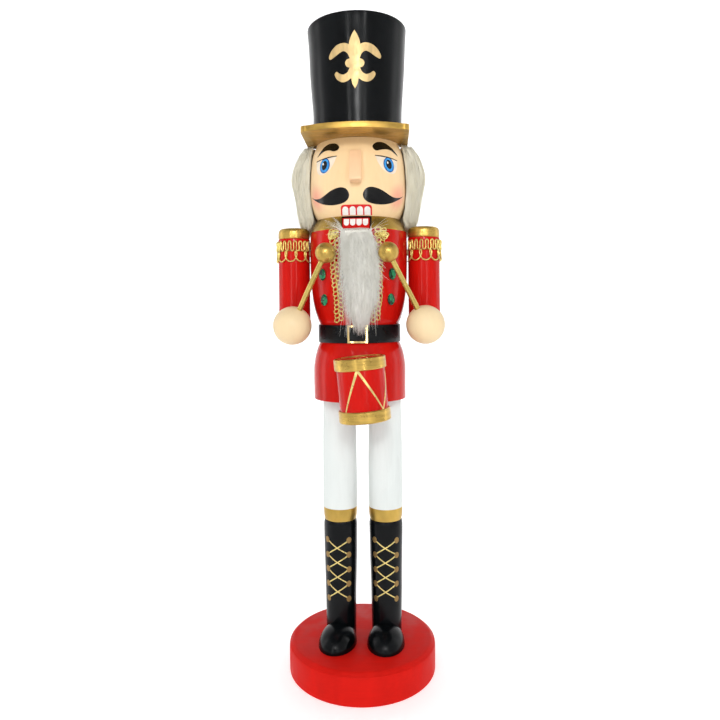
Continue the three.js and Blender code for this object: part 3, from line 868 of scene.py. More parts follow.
def ball_piece(name, centre, radius, paint, body, slot, replaces, flat_y=None, sides=72):
    """A turned ball, with a flat where it meets a wrist."""
    rows, rings = [], 40
    for i in range(rings + 1):
        t = math.pi * i / rings
        y = -math.cos(t) * radius
        limit = (flat_y - centre[1]) if flat_y is not None else radius
        r = math.sin(t) * radius
        if y > limit:
            break
        rows.append((max(r, 0.02), y))
    if flat_y is not None:
        edge = math.sqrt(radius**2 - limit**2)
        rows += [(edge - 0.2, limit - 0.02), (edge - 0.8, limit)]
    a = full_turn(sides)
    rings_at = [
        np.stack([centre[0] + r * np.cos(a), centre[1] + y + 0 * a, centre[2] + r * np.sin(a)], 1)
        for r, y in rows
    ]
    verts, faces = capped_rings(rings_at)
    make_piece(name, verts, flipped(faces), paint.mat, body, slot, replaces, sharp=50)


def hand_and_stick(side):
    """The ball hand, and the drumstick that runs from it to the knob."""
    body, stick_radius, steps = f"{side}_arm", 2.4, 12
    low, high = box_mm(f"{side}_hand")
    hand_r = (high[2] - low[2]) / 2
    hand_centre = np.array([(low[0] + high[0]) / 2, low[1] + hand_r, (low[2] + high[2]) / 2])
    ball_piece(
        f"{side}_hand_ball", hand_centre, hand_r, hand_paint, body, "flesh_paint", [f"{side}_hand"], high[1]
    )
    low, high = box_mm(f"{side}_drumstick_knob")
    knob, knob_r = (low + high) / 2, (high[2] - low[2]) / 2
    replaced = [f"{side}_drumstick_knob"]
    ball_piece(f"{side}_drumstick_ball", knob, knob_r, gold, body, "gold_paint", replaced, sides=56)
    reach = np.linalg.norm(knob - hand_centre)
    way = (knob - hand_centre) / reach
    stick = [hand_centre + way * t for t in np.linspace(hand_r - 3, reach - knob_r + 2.5, steps)]
    swell = stick_radius + 0.12 * np.sin(np.linspace(0, 5, steps) + SIDES[side])
    verts, faces = tube(stick, swell, 32)
    replaced = [f"{side}_drumstick"]
    make_piece(
        f"{side}_drumstick_shaft", verts, faces, stick_gold.mat, body, "gold_paint", replaced, sharp=50
    )


arm_axes = {}
for side in SIDES:
    arm_axes[side] = arm_pieces(side)
    turned_piece(
        f"{side}_shoulder_cap", gold_band, "gold_paint", f"{side}_arm", edge=0.7, sides=72, wobble=0.03
    )
    hand_and_stick(side)


# ---------------------------------------------------------------- belt and buckle


def shell(surface, outer_lift, inner_lift, low, high, edge, steps=6):
    """A turned band that follows a surface between two heights."""
    zs = np.linspace(low, high, steps)
    loop = [(surface.radius(z) + inner_lift, z) for z in zs[::-1]]
    loop += [(surface.radius(low) + outer_lift - edge, low)]
    inside = np.linspace(low + edge, high - edge, steps)
    loop += [(surface.radius(z) + outer_lift, z) for z in inside]
    loop += [(surface.radius(high) + outer_lift - edge, high)]
    return np.array(loop)


def ring_solid(loop, sides=128, place=None):
    """A closed section of [radius, height] points, swept round the vertical axis."""
    a = full_turn(sides)
    verts = np.concatenate([np.stack([r * np.sin(a), -r * np.cos(a), z + 0 * a], 1) for r, z in loop])
    faces = grid_faces(len(loop), sides) + wrap_faces(len(loop), sides)
    if place is not None:
        verts = verts @ place[0].T + place[1]
    return verts, faces


def wrapped(surface, arc):
    """Lays flat art on a turned surface: x runs along an arc of that radius, y is height."""
    return lambda x, y, lift: surface.point(np.asarray(x) / arc, y, lift)


def frame_strips(half, low, high, bar):
    """A picture-frame shape as four strips that meet at mitred corners."""
    return [
        [(-half, low), (half, low), (half - bar, low + bar), (-half + bar, low + bar)],
        [(half, low), (half, high), (half - bar, high - bar), (half - bar, low + bar)],
        [(half, high), (-half, high), (-half + bar, high - bar), (half - bar, high - bar)],
        [(-half, high), (-half, low), (-half + bar, low + bar), (-half + bar, high - bar)],
    ]


def belt_and_buckle():
    """A vinyl strap round the waist, and an open foil buckle lying on it."""
    low, high = box_mm("belt")
    radius, thick, beyond = high[0], 1.1, 5
    inner_wall = Turned([(radius - thick, low[2] - beyond), (radius - thick, high[2] + beyond)])
    verts, faces = ring_solid(shell(inner_wall, thick, 0.0, low[2], high[2], 0.35))
    make_piece("belt_strap", verts, faces, belt_vinyl.mat, FIGURE, "vinyl", ["belt"], sharp=50)

    outer_wall = Turned([(radius, low[2] - beyond), (radius, high[2] + beyond)])
    low, high = box_mm("buckle")
    strips = frame_strips(high[0], low[2], high[2], 1.7)
    parts = [layer(strip, wrapped(outer_wall, radius), 0.9, sink=0.1, step=2.0) for strip in strips]
    make_piece("buckle_frame", *merged(parts), foil.mat, FIGURE, "gold_foil", ["buckle"], sharp=30)


belt_and_buckle()


# ---------------------------------------------------------------- painted face


def paint_feature(name, outlines, paint, surface, arc, body, slot, lift=0.22, step=3.0):
    parts = [layer(o, wrapped(surface, arc), lift, step=step) for o in outlines]
    verts, faces = merged(parts)
    return make_piece(name, verts, faces, paint.mat, body, slot, sharp=30)


def face():
    """Brows, eyes, moustache and the painted upper teeth."""

    def on_head(name, outlines, paint, lift=0.22, step=3.0):
        return paint_feature(name, outlines, paint, head_surface, HEAD_ARC, FIGURE, "flesh_paint", lift, step)

    left_brow = [(16.2, 481.8), (19, 484.6), (23.5, 486.2), (29, 486.3), (33.8, 484.8), (38.6, 482.2)]
    left_brow += [(42.6, 479.3), (46.6, 475.9), (40.6, 478.1), (36.4, 479.7), (31.4, 480.0), (25.6, 479.1)]
    left_brow += [(20.0, 477.7), (17, 479)]
    right_brow = [(16.1, 481.4), (19.2, 484.4), (23.2, 485.6), (28.8, 485.6), (34.3, 483.8), (38.7, 480.1)]
    right_brow += [(43.3, 475.6), (37.1, 478.2), (32.2, 479.5), (27.0, 479.4), (21.6, 477.9), (17.2, 478.6)]
    brows = [smooth_outline(left_brow, [7]), mirrored(smooth_outline(right_brow, [6]))]
    on_head("painted_brows", brows, line_black)

    lid = curve_through([(18.0, 473.0), (26.4, 472.8), (35.0, 472.2), (43.6, 471.4)])
    lid_stroke = stroke(lid, np.interp(np.arange(len(lid)), [0, 5, len(lid) - 1], [0.55, 1.0, 0.6]))
    on_head("painted_lids", [lid_stroke, mirrored(lid_stroke)], line_black, 0.40, 2.0)

    white_of_eye = [(18.2, 472.6), (20.4, 467.4), (24.4, 462.0), (29.4, 458.8), (34.4, 457.8), (39.4, 459.6)]
    white_of_eye += [(42.8, 464.6), (43.7, 470.9), (35.0, 472.0), (26.4, 472.6)]
    sclera = smooth_outline(white_of_eye, [0, 7])
    on_head("painted_eye_whites", [sclera, mirrored(sclera)], eye_white, 0.15, 2.5)

    for side, x in SIDES.items():
        eye, tilt = ({"right": -31.2, "left": 32.3}[side], 465.9), 13 * x
        on_head(f"{side}_iris_rim", [ellipse(eye, 6.2, 6.8, tilt)], iris_rim, 0.24, 2.0)
        on_head(f"{side}_iris", [ellipse(eye, 5.3, 6.0, tilt)], iris, 0.30, 2.0)
        pupil = ellipse((eye[0] - 0.1, eye[1] + 0.3), 3.2, 4.2, tilt)
        on_head(f"{side}_pupil", [pupil], line_black, 0.36, 2.0)
        light = ellipse((eye[0] - 1.6, eye[1] + 1.7), 0.9, 1.1, 0, 16)
        on_head(f"{side}_eye_light", [light], line_white, 0.42, 2.0)

    moustache = [(53.6, 440.2), (47.4, 438.1), (41.4, 437.2), (36.6, 437.4), (31.4, 439.0), (22.4, 442.9)]
    moustache += [(14.4, 444.7), (9.0, 443.3), (6.2, 438.8), (7.2, 434.4), (11.7, 431.2), (19.3, 429.9)]
    moustache += [(27.4, 430.2), (36.6, 432.4), (46.4, 436.5)]
    half = smooth_outline(moustache, [0])
    on_head("painted_moustache", [half, mirrored(half)], line_black, 0.26)

    def from_front(x, z, lift):
        return head_surface.point(np.arcsin(np.asarray(x) / head_surface.radius(z)), z, lift)

    edge, top, foot, corner = 13.8, 429.4, 420.6, 2.2
    gum = [(-edge, foot), (edge, foot), (edge, top - corner), (edge - 0.7, top - 0.7), (edge - corner, top)]
    gum += [(corner - edge, top), (0.7 - edge, top - 0.7), (-edge, top - corner)]
    gum_coat = layer(gum, from_front, 0.16)
    make_piece("painted_upper_gum", *gum_coat, mouth_red.mat, FIGURE, "flesh_paint", sharp=30)
    teeth = []
    for k in range(4):
        middle, half_wide = (k - 1.5) * 6.5, 2.65
        arch = [
            (middle + half_wide * math.cos(t), 425.3 + 2.6 * math.sin(t)) for t in np.linspace(0, math.pi, 12)
        ]
        teeth.append([(middle - half_wide, foot + 0.1), (middle + half_wide, foot + 0.1), *arch])
    parts = [layer(t, from_front, 0.30, step=2.0) for t in teeth]
    make_piece("painted_upper_teeth", *merged(parts), line_white.mat, FIGURE, "flesh_paint", sharp=30)


face()


def mouth_roof():
    """Painted shade: black on the head's underside, over the jaw and its lever, for the shadow in the mouth
    gap.
    """
    half, back, rim = 13.2, 34.0, 38.0
    front = [(x, -math.sqrt(rim**2 - x**2)) for x in np.linspace(-half, half, 15)]
    outline = [*front, (half, back), (-half, back)]

    def under(x, y, lift):
        return np.stack([x, y, HEAD_UNDERSIDE - lift + 0 * x], -1)

    verts, faces = layer(outline, under, 0.15, sink=0.1)
    make_piece("mouth_roof", verts, flipped(faces), painted_slot_shade.mat, FIGURE, "black_paint", sharp=30)


mouth_roof()


def hat_emblem():
    """A plain heraldic lily in gold paint."""
    half = [(0, 582.6), (2.4, 578.6), (4.4, 573.6), (5.0, 570.4)]
    petal = [(9.6, 571.8), (15.6, 570.8), (20.9, 567.2), (24.3, 562.2), (23.4, 559.2), (18.9, 560.6)]
    petal += [(13.4, 563.6), (9.6, 564.6), (6.4, 562.3), (4.3, 558.0)]
    waist = [(7.4, 556.8), (8.7, 554.2), (7.4, 551.2), (4.6, 550.0)]
    curl = [(6.6, 546.4), (10.4, 544.5), (14.2, 545.7), (17.2, 547.6), (19.2, 545.4), (17.0, 541.0)]
    curl += [(12.2, 538.1), (7.4, 538.6), (3.4, 541.0)]
    tail = [(2.4, 536.2), (0, 532.0)]
    right = [*half, *petal, *waist, *curl, *tail]
    left = [(-x, z) for x, z in right[1:-1]][::-1]
    outline = right + left
    n, m = len(right), len(left)
    corners = [0, len(half) - 1, len(half) + len(petal) - 1, len(half) + len(petal) + len(waist) - 1]
    corners += [len(half) + len(petal) + len(waist) + len(curl) - 1, n - 1]
    mirror_corners = [n + m - c for c in corners[1:5]]
    line = smooth_outline(outline, sorted(corners + mirror_corners), 5)
    emblem = layer(line, wrapped(hat_surface, HEAD_ARC), 0.25, step=3.0)
    make_piece("hat_lily", *emblem, gold_pale.mat, FIGURE, "gold_paint", sharp=30)


hat_emblem()


# ---------------------------------------------------------------- jaw face


def jaw_face():
    """The painted lower teeth and gum on the front of the jaw block."""
    low, high = box_mm("jaw_lever")
    left, right = low[0], high[0]
    front = [(-45.4, 402.0), (-44.2, 410.0), (-40.5, 417.8)]

    def on_jaw(x, z, lift):
        ys = np.interp(z, [p[1] for p in front], [p[0] for p in front])
        return np.stack([np.asarray(x) + 0 * ys, ys - lift, np.asarray(z) + 0 * ys], -1)

    width = (right - left - 1.4) / 4
    teeth = []
    for k in range(4):
        cx = left + 0.7 + width * (k + 0.5)
        half = width / 2 - 0.45
        arch = [(cx + half * math.cos(t), 413.2 - 2.5 * math.sin(t)) for t in np.linspace(math.pi, 0, 12)]
        teeth.append([*arch, (cx + half, 416.9), (cx - half, 416.9)])
    parts = [layer(t, on_jaw, 0.25, sink=0.2, step=1.6) for t in teeth]
    make_piece("painted_lower_teeth", *merged(parts), line_white.mat, JAW, "red_paint", sharp=30)


jaw_face()


# ---------------------------------------------------------------- boot lacing


def boot_lacing(side):
    """Ten painted eyelets and crossed laces up the front of a boot."""
    surface = boots[side]
    half, arc = 10.7, 15.0
    turn = {"right": -7.0, "left": -1.5}[side] / 180 * math.pi * arc
    rows = [122.2, 108.4, 95.0, 81.4, 67.6]
    lines, dots = [], []
    for a, b in zip(rows, rows[1:]):
        for x in (-1, 1):
            start, stop = (turn + x * (half - 1.6), a - 0.8), (turn - x * (half - 1.0), b + 0.8)
            path = np.linspace(start, stop, 9)
            path[:, 1] += 0.25 * np.sin(np.linspace(0, math.pi, 9)) * x
            lines.append(stroke(path, np.linspace(1.1, 1.0, 9)))
    for z in rows:
        for x in (-1, 1):
            jitter = rng.uniform(-0.25, 0.25, 2)
            dots.append(ellipse((turn + x * half + jitter[0], z + jitter[1]), 2.5, 2.8, 0, 20))
    wrap = wrapped(surface, arc)
    line_parts = [layer(o, wrap, 0.18 + 0.08 * (i % 2), step=2.0) for i, o in enumerate(lines)]
    make_piece(f"{side}_boot_laces", *merged(line_parts), gold_line.mat, FIGURE, "gold_paint", sharp=30)
    dot_parts = [layer(o, wrap, 0.36, step=2.0) for o in dots]
    make_piece(f"{side}_boot_eyelets", *merged(dot_parts), bronze.mat, FIGURE, "gold_paint", sharp=30)


for side in SIDES:
    boot_lacing(side)


# ---------------------------------------------------------------- drum


def drum():
    """Shell with gold painted zigzag, and two gold hoops, leaning a little to one side."""
    centre = centre_mm("drum_shell")
    lean = math.radians(-5.1)
    turn = np.array([[math.cos(lean), 0, math.sin(lean)], [0, 1, 0], [-math.sin(lean), 0, math.cos(lean)]])
    place = (turn, centre)
    half, r, hoop_r, hoop_tall = 26.5, 20.5, 22.1, 10.0
    profile = [(r, -half), (r, half)]
    rounded = [(r - 0.8, -half), (r - 0.2, -half + 0.3), (r, -half + 0.9)]
    rounded += [(r, z) for z in np.linspace(-half + 4, half - 4, 10)]
    rounded += [(r, half - 0.9), (r - 0.2, half - 0.3), (r - 0.8, half)]
    wall = Turned(rounded, place=place)
    make_piece("drum_body", *wall.solid(112), red.mat, FIGURE, "red_paint", ["drum_shell"])
    for name, node, low in (
        ("drum_upper_band", "drum_upper_hoop", half + 0.4 - hoop_tall),
        ("drum_lower_band", "drum_lower_hoop", -half - 0.4),
    ):
        wall_line = Turned([(r, -half - 5), (r, half + 5)])
        loop = shell(wall_line, hoop_r - r, 0.1, low, low + hoop_tall, 0.6)
        verts, faces = ring_solid(loop, 112, place)
        make_piece(name, verts, faces, gold_band.mat, FIGURE, "gold_paint", [node])

    low, high = -half + hoop_tall - 0.2, half - hoop_tall + 0.2
    lines = []
    corners = [-46, -5, 52, 97, 140, 184, 228, 252]  # degrees round the shell, foot and peak in turn
    for k, (a, b) in enumerate(zip(corners, corners[1:])):
        peak, foot = (b, a) if k % 2 == 0 else (a, b)
        side = 1 if foot > peak else -1
        path = np.linspace((peak + side, high), (foot - side, low), 18) * (math.radians(1) * r, 1)
        lines.append(stroke(path, np.linspace(2.2, 1.1, 18)))
    surface = Turned(profile, place=place)
    parts = [layer(o, wrapped(surface, r), 0.2 + 0.06 * (i % 2), step=2.0) for i, o in enumerate(lines)]
    make_piece("drum_zigzag", *merged(parts), gold_line.mat, FIGURE, "gold_paint", sharp=30)


drum()


# ---------------------------------------------------------------- braids


def looped(points_of, n, steps, radius):
    """A slightly flattened cord along a line that makes n loops."""
    t = np.linspace(0, n * 2 * math.pi, n * steps + 1)
    return tube(points_of(t), radius, 6, flat=0.8)


def curl(across, z, half_wide, half_tall, tilt, lift, cord):
    """One small ring of cord lying on the tunic."""
    a = full_turn(18)
    dx = half_wide * np.cos(a) * math.cos(tilt) - half_tall * np.sin(a) * math.sin(tilt)
    dz = half_wide * np.cos(a) * math.sin(tilt) + half_tall * np.sin(a) * math.cos(tilt)
    angle = np.arcsin((across + dx) / torso_surface.radius(z + dz))
    return tube(torso_surface.point(angle, z + dz, lift + 0.4 * np.sin(2 * a)), cord, 6, closed=True)


def front_braid(side):
    """Gold gimp down the front: two columns of small rings linked through each other, with a knot on top."""
    x = SIDES[side]
    top, bottom = {"right": 19.6, "left": 20.4}[side], {"right": 15.2, "left": 15.8}[side]
    z_top, z_low, pitch = 405.0, 325.5, 3.9
    local = np.random.default_rng(5 + x)
    curls, bright = [], []
    for k, level in enumerate(np.arange(z_top - 2.5, z_low + 1.5, -pitch)):
        share = (z_top - level) / (z_top - z_low)
        middle = x * (top + (bottom - top) * share**1.2) + 0.5 * math.sin(11 * share)
        for column in (-1, 1):
            z = level + column * pitch / 4
            tilt = 0.5 * column + local.normal(0, 0.15)
            lift = 0.95 + 0.5 * ((k + (column > 0)) % 2)
            across = middle + 1.75 * column + local.normal(0, 0.12)
            curls.append(curl(across, z, 1.75, 2.5, tilt, lift, 0.55))
            # Each ring gets a thinner cord just above it in the lighter thread: a painted highlight.
            bright.append(curl(across + 0.1, z + 0.15, 1.65, 2.4, tilt, lift + 0.42, 0.26))
    replaced = [f"{side}_front_braid"]
    make_piece(f"{side}_front_gimp", *merged(curls), thread.mat, FIGURE, "gold_braid", replaced, sharp=0)
    make_piece(f"{side}_front_gimp_painted_highlight", *merged(bright), thread_painted_highlight.mat, FIGURE, "gold_braid", sharp=0)
    # The knot on top is drawn all in the lighter thread, so it carries painted highlight.
    knot = []
    for k in range(7):
        across = x * (top + 0.6) + local.uniform(-4.2, 4.2)
        z, tilt = 404.4 + local.uniform(-3.2, 3.2), local.uniform(0, math.pi)
        half_wide, half_tall = local.uniform(2.1, 2.8), local.uniform(1.7, 2.3)
        knot.append(curl(across, z, half_wide, half_tall, tilt, 1.3 + 0.1 * k, 0.6))
    make_piece(f"{side}_front_gimp_end", *merged(knot), thread_painted_highlight.mat, FIGURE, "gold_braid", sharp=0)


def arm_gimp(side):
    """The sleeve braid: tall narrow loops above, round scallops below, with a gap at the shoulder peg."""
    x, body = SIDES[side], f"{side}_arm"
    loops, scallops = 17, 9
    gap = 0.42  # radians left bare on each side of the shoulder peg
    low, high = box_mm(f"{side}_arm_braid")
    r = (box_mm(f"{side}_upper_arm")[1][0] - box_mm(f"{side}_upper_arm")[0][0]) / 2
    surface = Turned([(r, 300), (r, 430)], (arm_axes[side], 0))
    arc = r + 0.8
    start, span = -x * math.pi / 2 + gap, 2 * math.pi - 2 * gap
    upper_mid, upper_half = high[2] - 5.2, 4.6
    lower_mid, lower_half = low[2] + 5.3, 4.8

    def upper(t, shift, lift):
        share = t / (2 * math.pi * loops)
        s = share * span * arc + 0.58 * np.sin(2 * t)
        z = upper_mid + (upper_half - shift) * np.cos(t)
        return surface.point(start + s / arc, z, lift + 0.35 * np.sin(2 * t))

    def lower(t, shift, lift):
        share = t / (2 * math.pi * scallops)
        s = share * span * arc + 2.9 * np.sin(t)
        z = lower_mid - (lower_half - shift) * np.cos(t)
        return surface.point(start + s / arc, z, lift + 0.3 * np.cos(t))

    cords = [
        looped(lambda t: upper(t, 0.0, 0.85), loops, 20, 0.80),
        looped(lambda t: lower(t, 0.0, 0.95), scallops, 26, 0.78),
    ]
    replaced = [f"{side}_arm_braid"]
    make_piece(f"{side}_sleeve_gimp", *merged(cords), thread.mat, body, "gold_braid", replaced, sharp=0)
    # Thinner cords just above the loops, in the lighter thread: painted highlight.
    shine = [
        looped(lambda t: upper(t, 0.1, 1.5), loops, 20, 0.32),
        looped(lambda t: lower(t, 0.1, 1.5), scallops, 26, 0.34),
    ]
    make_piece(f"{side}_sleeve_gimp_painted_highlight", *merged(shine), thread_painted_highlight.mat, body, "gold_braid", sharp=0)
    line = surface.point(start + np.linspace(0, span, 120), upper_mid - 4.4, 0.55)
    tape = tube(line, 0.55, 6, flat=0.6)
    make_piece(f"{side}_sleeve_tape", *tape, ground.mat, body, "gold_braid", sharp=0)


for side in SIDES:
    front_braid(side)
    arm_gimp(side)


# ---------------------------------------------------------------- stones


def faceted_stone(side, row):
    """An oval cut stone: flat table, a row of crown facets and a thin girdle, standing on the tunic."""
    x = SIDES[side]
    node = f"{side}_{row}_gem"
    centre = centre_mm(node)
    angle = math.atan2(centre[0], -centre[1])
    out = np.array([math.sin(angle), -math.cos(angle), 0])
    across = np.array([math.cos(angle), math.sin(angle), 0])
    up = np.array([0, 0, 1.0])
    r = torso_surface.radius(centre[2])
    origin = out * (r + 0.15) + up * centre[2]
    n = 12
    rings = [(1.0, 0.0, 0.0), (1.0, 0.8, 0.0), (0.80, 1.9, 0.5), (0.52, 2.5, 0.0)]
    rows = []
    for size, height, phase in rings:
        a = (np.arange(n) + phase) / n * 2 * math.pi
        rows.append(
            origin
            + out * height
            + 4.1 * size * np.cos(a)[:, None] * across
            + 5.4 * size * np.sin(a)[:, None] * up
        )
    verts = np.concatenate(rows)
    faces = grid_faces(2, n)
    for i in (1, 2):
        for j in range(n):
            k = (j + 1) % n
            a, b, c, d = i * n + j, i * n + k, (i + 1) * n + j, (i + 1) * n + k
            if i == 1:
                faces += [(a, b, c), (c, b, d)]
            else:
                faces += [(a, d, c), (a, b, d)]
    faces.append(tuple(3 * n + j for j in range(n)))
    faces.append(tuple(reversed(range(n))))
    obj = make_object(f"{side}_{row}_stone", verts, faces, [gem.mat], sharp=5)
    obj.data.polygons.foreach_set("use_smooth", [False] * len(obj.data.polygons))
    face_outwards(obj)
    finish_piece(obj, FIGURE, [node])


for side in SIDES:
    for row in ("upper", "lower"):
        faceted_stone(side, row)


# ---------------------------------------------------------------- fur


def value_noise(points, scale, seed):
    """Smooth noise from -1 to 1 at points, by summing a few random plane waves."""
    local = np.random.default_rng(seed)
    total = 0
    for _ in range(9):
        way = local.normal(size=3) * scale
        total = total + np.sin(points @ way + local.uniform(0, 2 * math.pi))
    return total / 4.2


def beard():
    """White fur on a knitted strip glued under the lower teeth, hanging over the tunic's front."""
    levels = [309.0, 316.0, 330.0, 345.0, 360.0, 376.0, 390.0, 400.0, 408.0]
    half_wide = [3.2, 4.6, 7.2, 10.4, 13.2, 14.8, 14.7, 13.7, 12.3]
    drift = [2.2, 2.5, 3.2, 4.4, 4.6, 4.0, 2.4, 0.9, -0.2]
    back = [-41.4, -42.2, -45.2, -47.0, -47.6, -47.8, -47.2, -46.6, -45.8]
    bulge = [0.6, 1.4, 3.4, 5.2, 6.8, 7.8, 6.8, 4.4, 1.6]
    curve = {
        k: curve_through(np.stack([levels, v], 1), 6)
        for k, v in {"wide": half_wide, "drift": drift, "back": back, "bulge": bulge}.items()
    }

    def at(kind, z):
        return np.interp(z, curve[kind][:, 0], curve[kind][:, 1])

    # Underfur: a lens-shaped body in the same envelope, a little inside it.
    rows = []
    a = full_turn(40)
    for z in np.linspace(341, 406.5, 40):
        w, b = at("wide", z) * 0.78, at("bulge", z) * 0.66
        px = at("drift", z) + w * np.cos(a)
        py = at("back", z) - b * 0.5 * (1 - np.sin(a))
        ridge = 0.35 * value_noise(np.stack([px, py, 0.2 * z + 0 * px], 1), 0.9, 3)
        rows.append(np.stack([px + ridge, py + ridge, z + 0 * px], 1))
    verts, faces = capped_rings(rows)
    core = make_object("beard_underfur", verts, flipped(faces), [beard_core.mat], 0)
    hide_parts("beard")
    pieces = [core]

    # The knitted strip's top edge.
    strip = [(-11.6, 399.0), (11.4, 399.0), (11.6, 408.0), (4, 408.5), (-4, 408.1), (-12.0, 408.0)]
    cloth = layer(
        strip, lambda x, z, lift: np.stack([x - 0.4, -45.4 + 0 * x - lift, z], -1), 0.9, sink=-0.2, step=2.0
    )
    make_piece("beard_backing", *cloth, backing.mat, JAW, "fur", sharp=30)

    def tuft(n, k, high, spread, long_low, long_high, loose, root):
        """Hairs rooted from a height downwards, hanging inside the envelope."""
        u = rng.uniform(-1, 1, n)
        z0 = high - spread * rng.beta(1.0, 1.2, n)
        length = rng.uniform(long_low, long_high, n)
        tip = 310.5 + rng.gamma(2.0, 6.0, n) + 5 * np.abs(u)
        length = np.clip(length, 3.0, np.maximum(z0 - tip, 5.0))
        depth = np.clip(rng.beta(1.7, 1.0, n), 0.05, 1) * 1.05
        t = np.linspace(0, 1, k)[None, :]
        z = z0[:, None] - length[:, None] * t
        rise = np.clip(t * length[:, None] / 7, 0, 1) ** 0.7
        start_depth = np.where(z0 > 398, 0.35, 0.75)[:, None]
        d = depth[:, None] * (start_depth + (1 - start_depth) * rise)
        wave = value_noise(np.stack([u * 14, z0 / 6, depth * 3], 1), 0.35, 8)[:, None]
        curl = rng.normal(0, loose, n)[:, None]
        frayed = rng.beta(0.7, 4.0, n)[:, None]
        wide = (1 - frayed) * at("wide", z) + frayed * at("wide", z0)[:, None]
        x = at("drift", z) + u[:, None] * wide
        x = x + (1.3 * wave + curl) * t**1.3 + 0.35 * loose * np.sin(5 * t + 9 * u[:, None])
        edge = np.sqrt(np.clip(1 - (0.92 * u[:, None]) ** 2, 0.08, 1))
        y = at("back", z) - d * at("bulge", z) * edge - 0.3 * np.abs(wave) * t
        y = y - rng.uniform(0, 0.5, n)[:, None] * loose * t
        return hairs(np.stack([x, y, z], 2), root, 0.05)

    for name, strands in (
        ("beard_fur", tuft(3900, 8, 407.0, 70, 24, 44, 1.0, 0.19)),
        ("beard_fuzz", tuft(6400, 6, 407.5, 54, 6, 16, 3.2, 0.18)),
    ):
        fur = make_object(name, *strands, [beard_fibre.mat], 0)
        pieces.append(fur)

    # Stray hairs that fan out to the sides and up from the top corners.
    n, k = 380, 10
    side = np.where(rng.uniform(size=n) < 0.72, -1.0, 1.0)
    z0 = rng.uniform(352, 404, n)
    u = side * rng.uniform(0.6, 1.0, n)
    x0 = at("drift", z0) + u * at("wide", z0)
    length = rng.uniform(18, 44, n)
    t = np.linspace(0, 1, k)[None, :]
    out = np.where(side < 0, rng.gamma(2.0, 2.2, n), rng.gamma(1.6, 1.6, n))[:, None]
    x = x0[:, None] + side[:, None] * out * t**0.8 * (1 - 0.25 * t)
    z = z0[:, None] - length[:, None] * t
    r = torso_surface.radius(np.clip(z, 324, 408))
    y = -np.sqrt(np.clip(r**2 - x**2, 1, None)) - 2.9 - rng.uniform(0, 2.5, n)[:, None]
    paths = np.stack([x, y, z], 2)
    up_n = 46
    corner = np.where(rng.uniform(size=up_n) < 0.75, -1.0, 1.0)
    base_x, base_z = corner * rng.uniform(10.0, 12.0, up_n), rng.uniform(402, 407, up_n)
    base_point = np.stack([base_x, -46 + 0 * corner, base_z], 1)
    aim = np.stack(
        [corner * rng.uniform(4, 17, up_n), rng.uniform(-3, 0.5, up_n), rng.uniform(2, 15, up_n)], 1
    )
    bend = np.stack([corner * rng.uniform(0, 3, up_n), 0 * corner, -rng.uniform(0, 4, up_n)], 1)
    s = np.linspace(0, 1, k)[None, :, None]
    rising = base_point[:, None] + aim[:, None] * s + bend[:, None] * s**2
    parts = [hairs(paths, 0.14, 0.04), hairs(rising, 0.13, 0.04)]
    stray = make_object("beard_stray_hairs", *merged(parts), [beard_fibre.mat], 0)
    pieces.append(stray)
    for piece in pieces:
        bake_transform(piece)


beard()


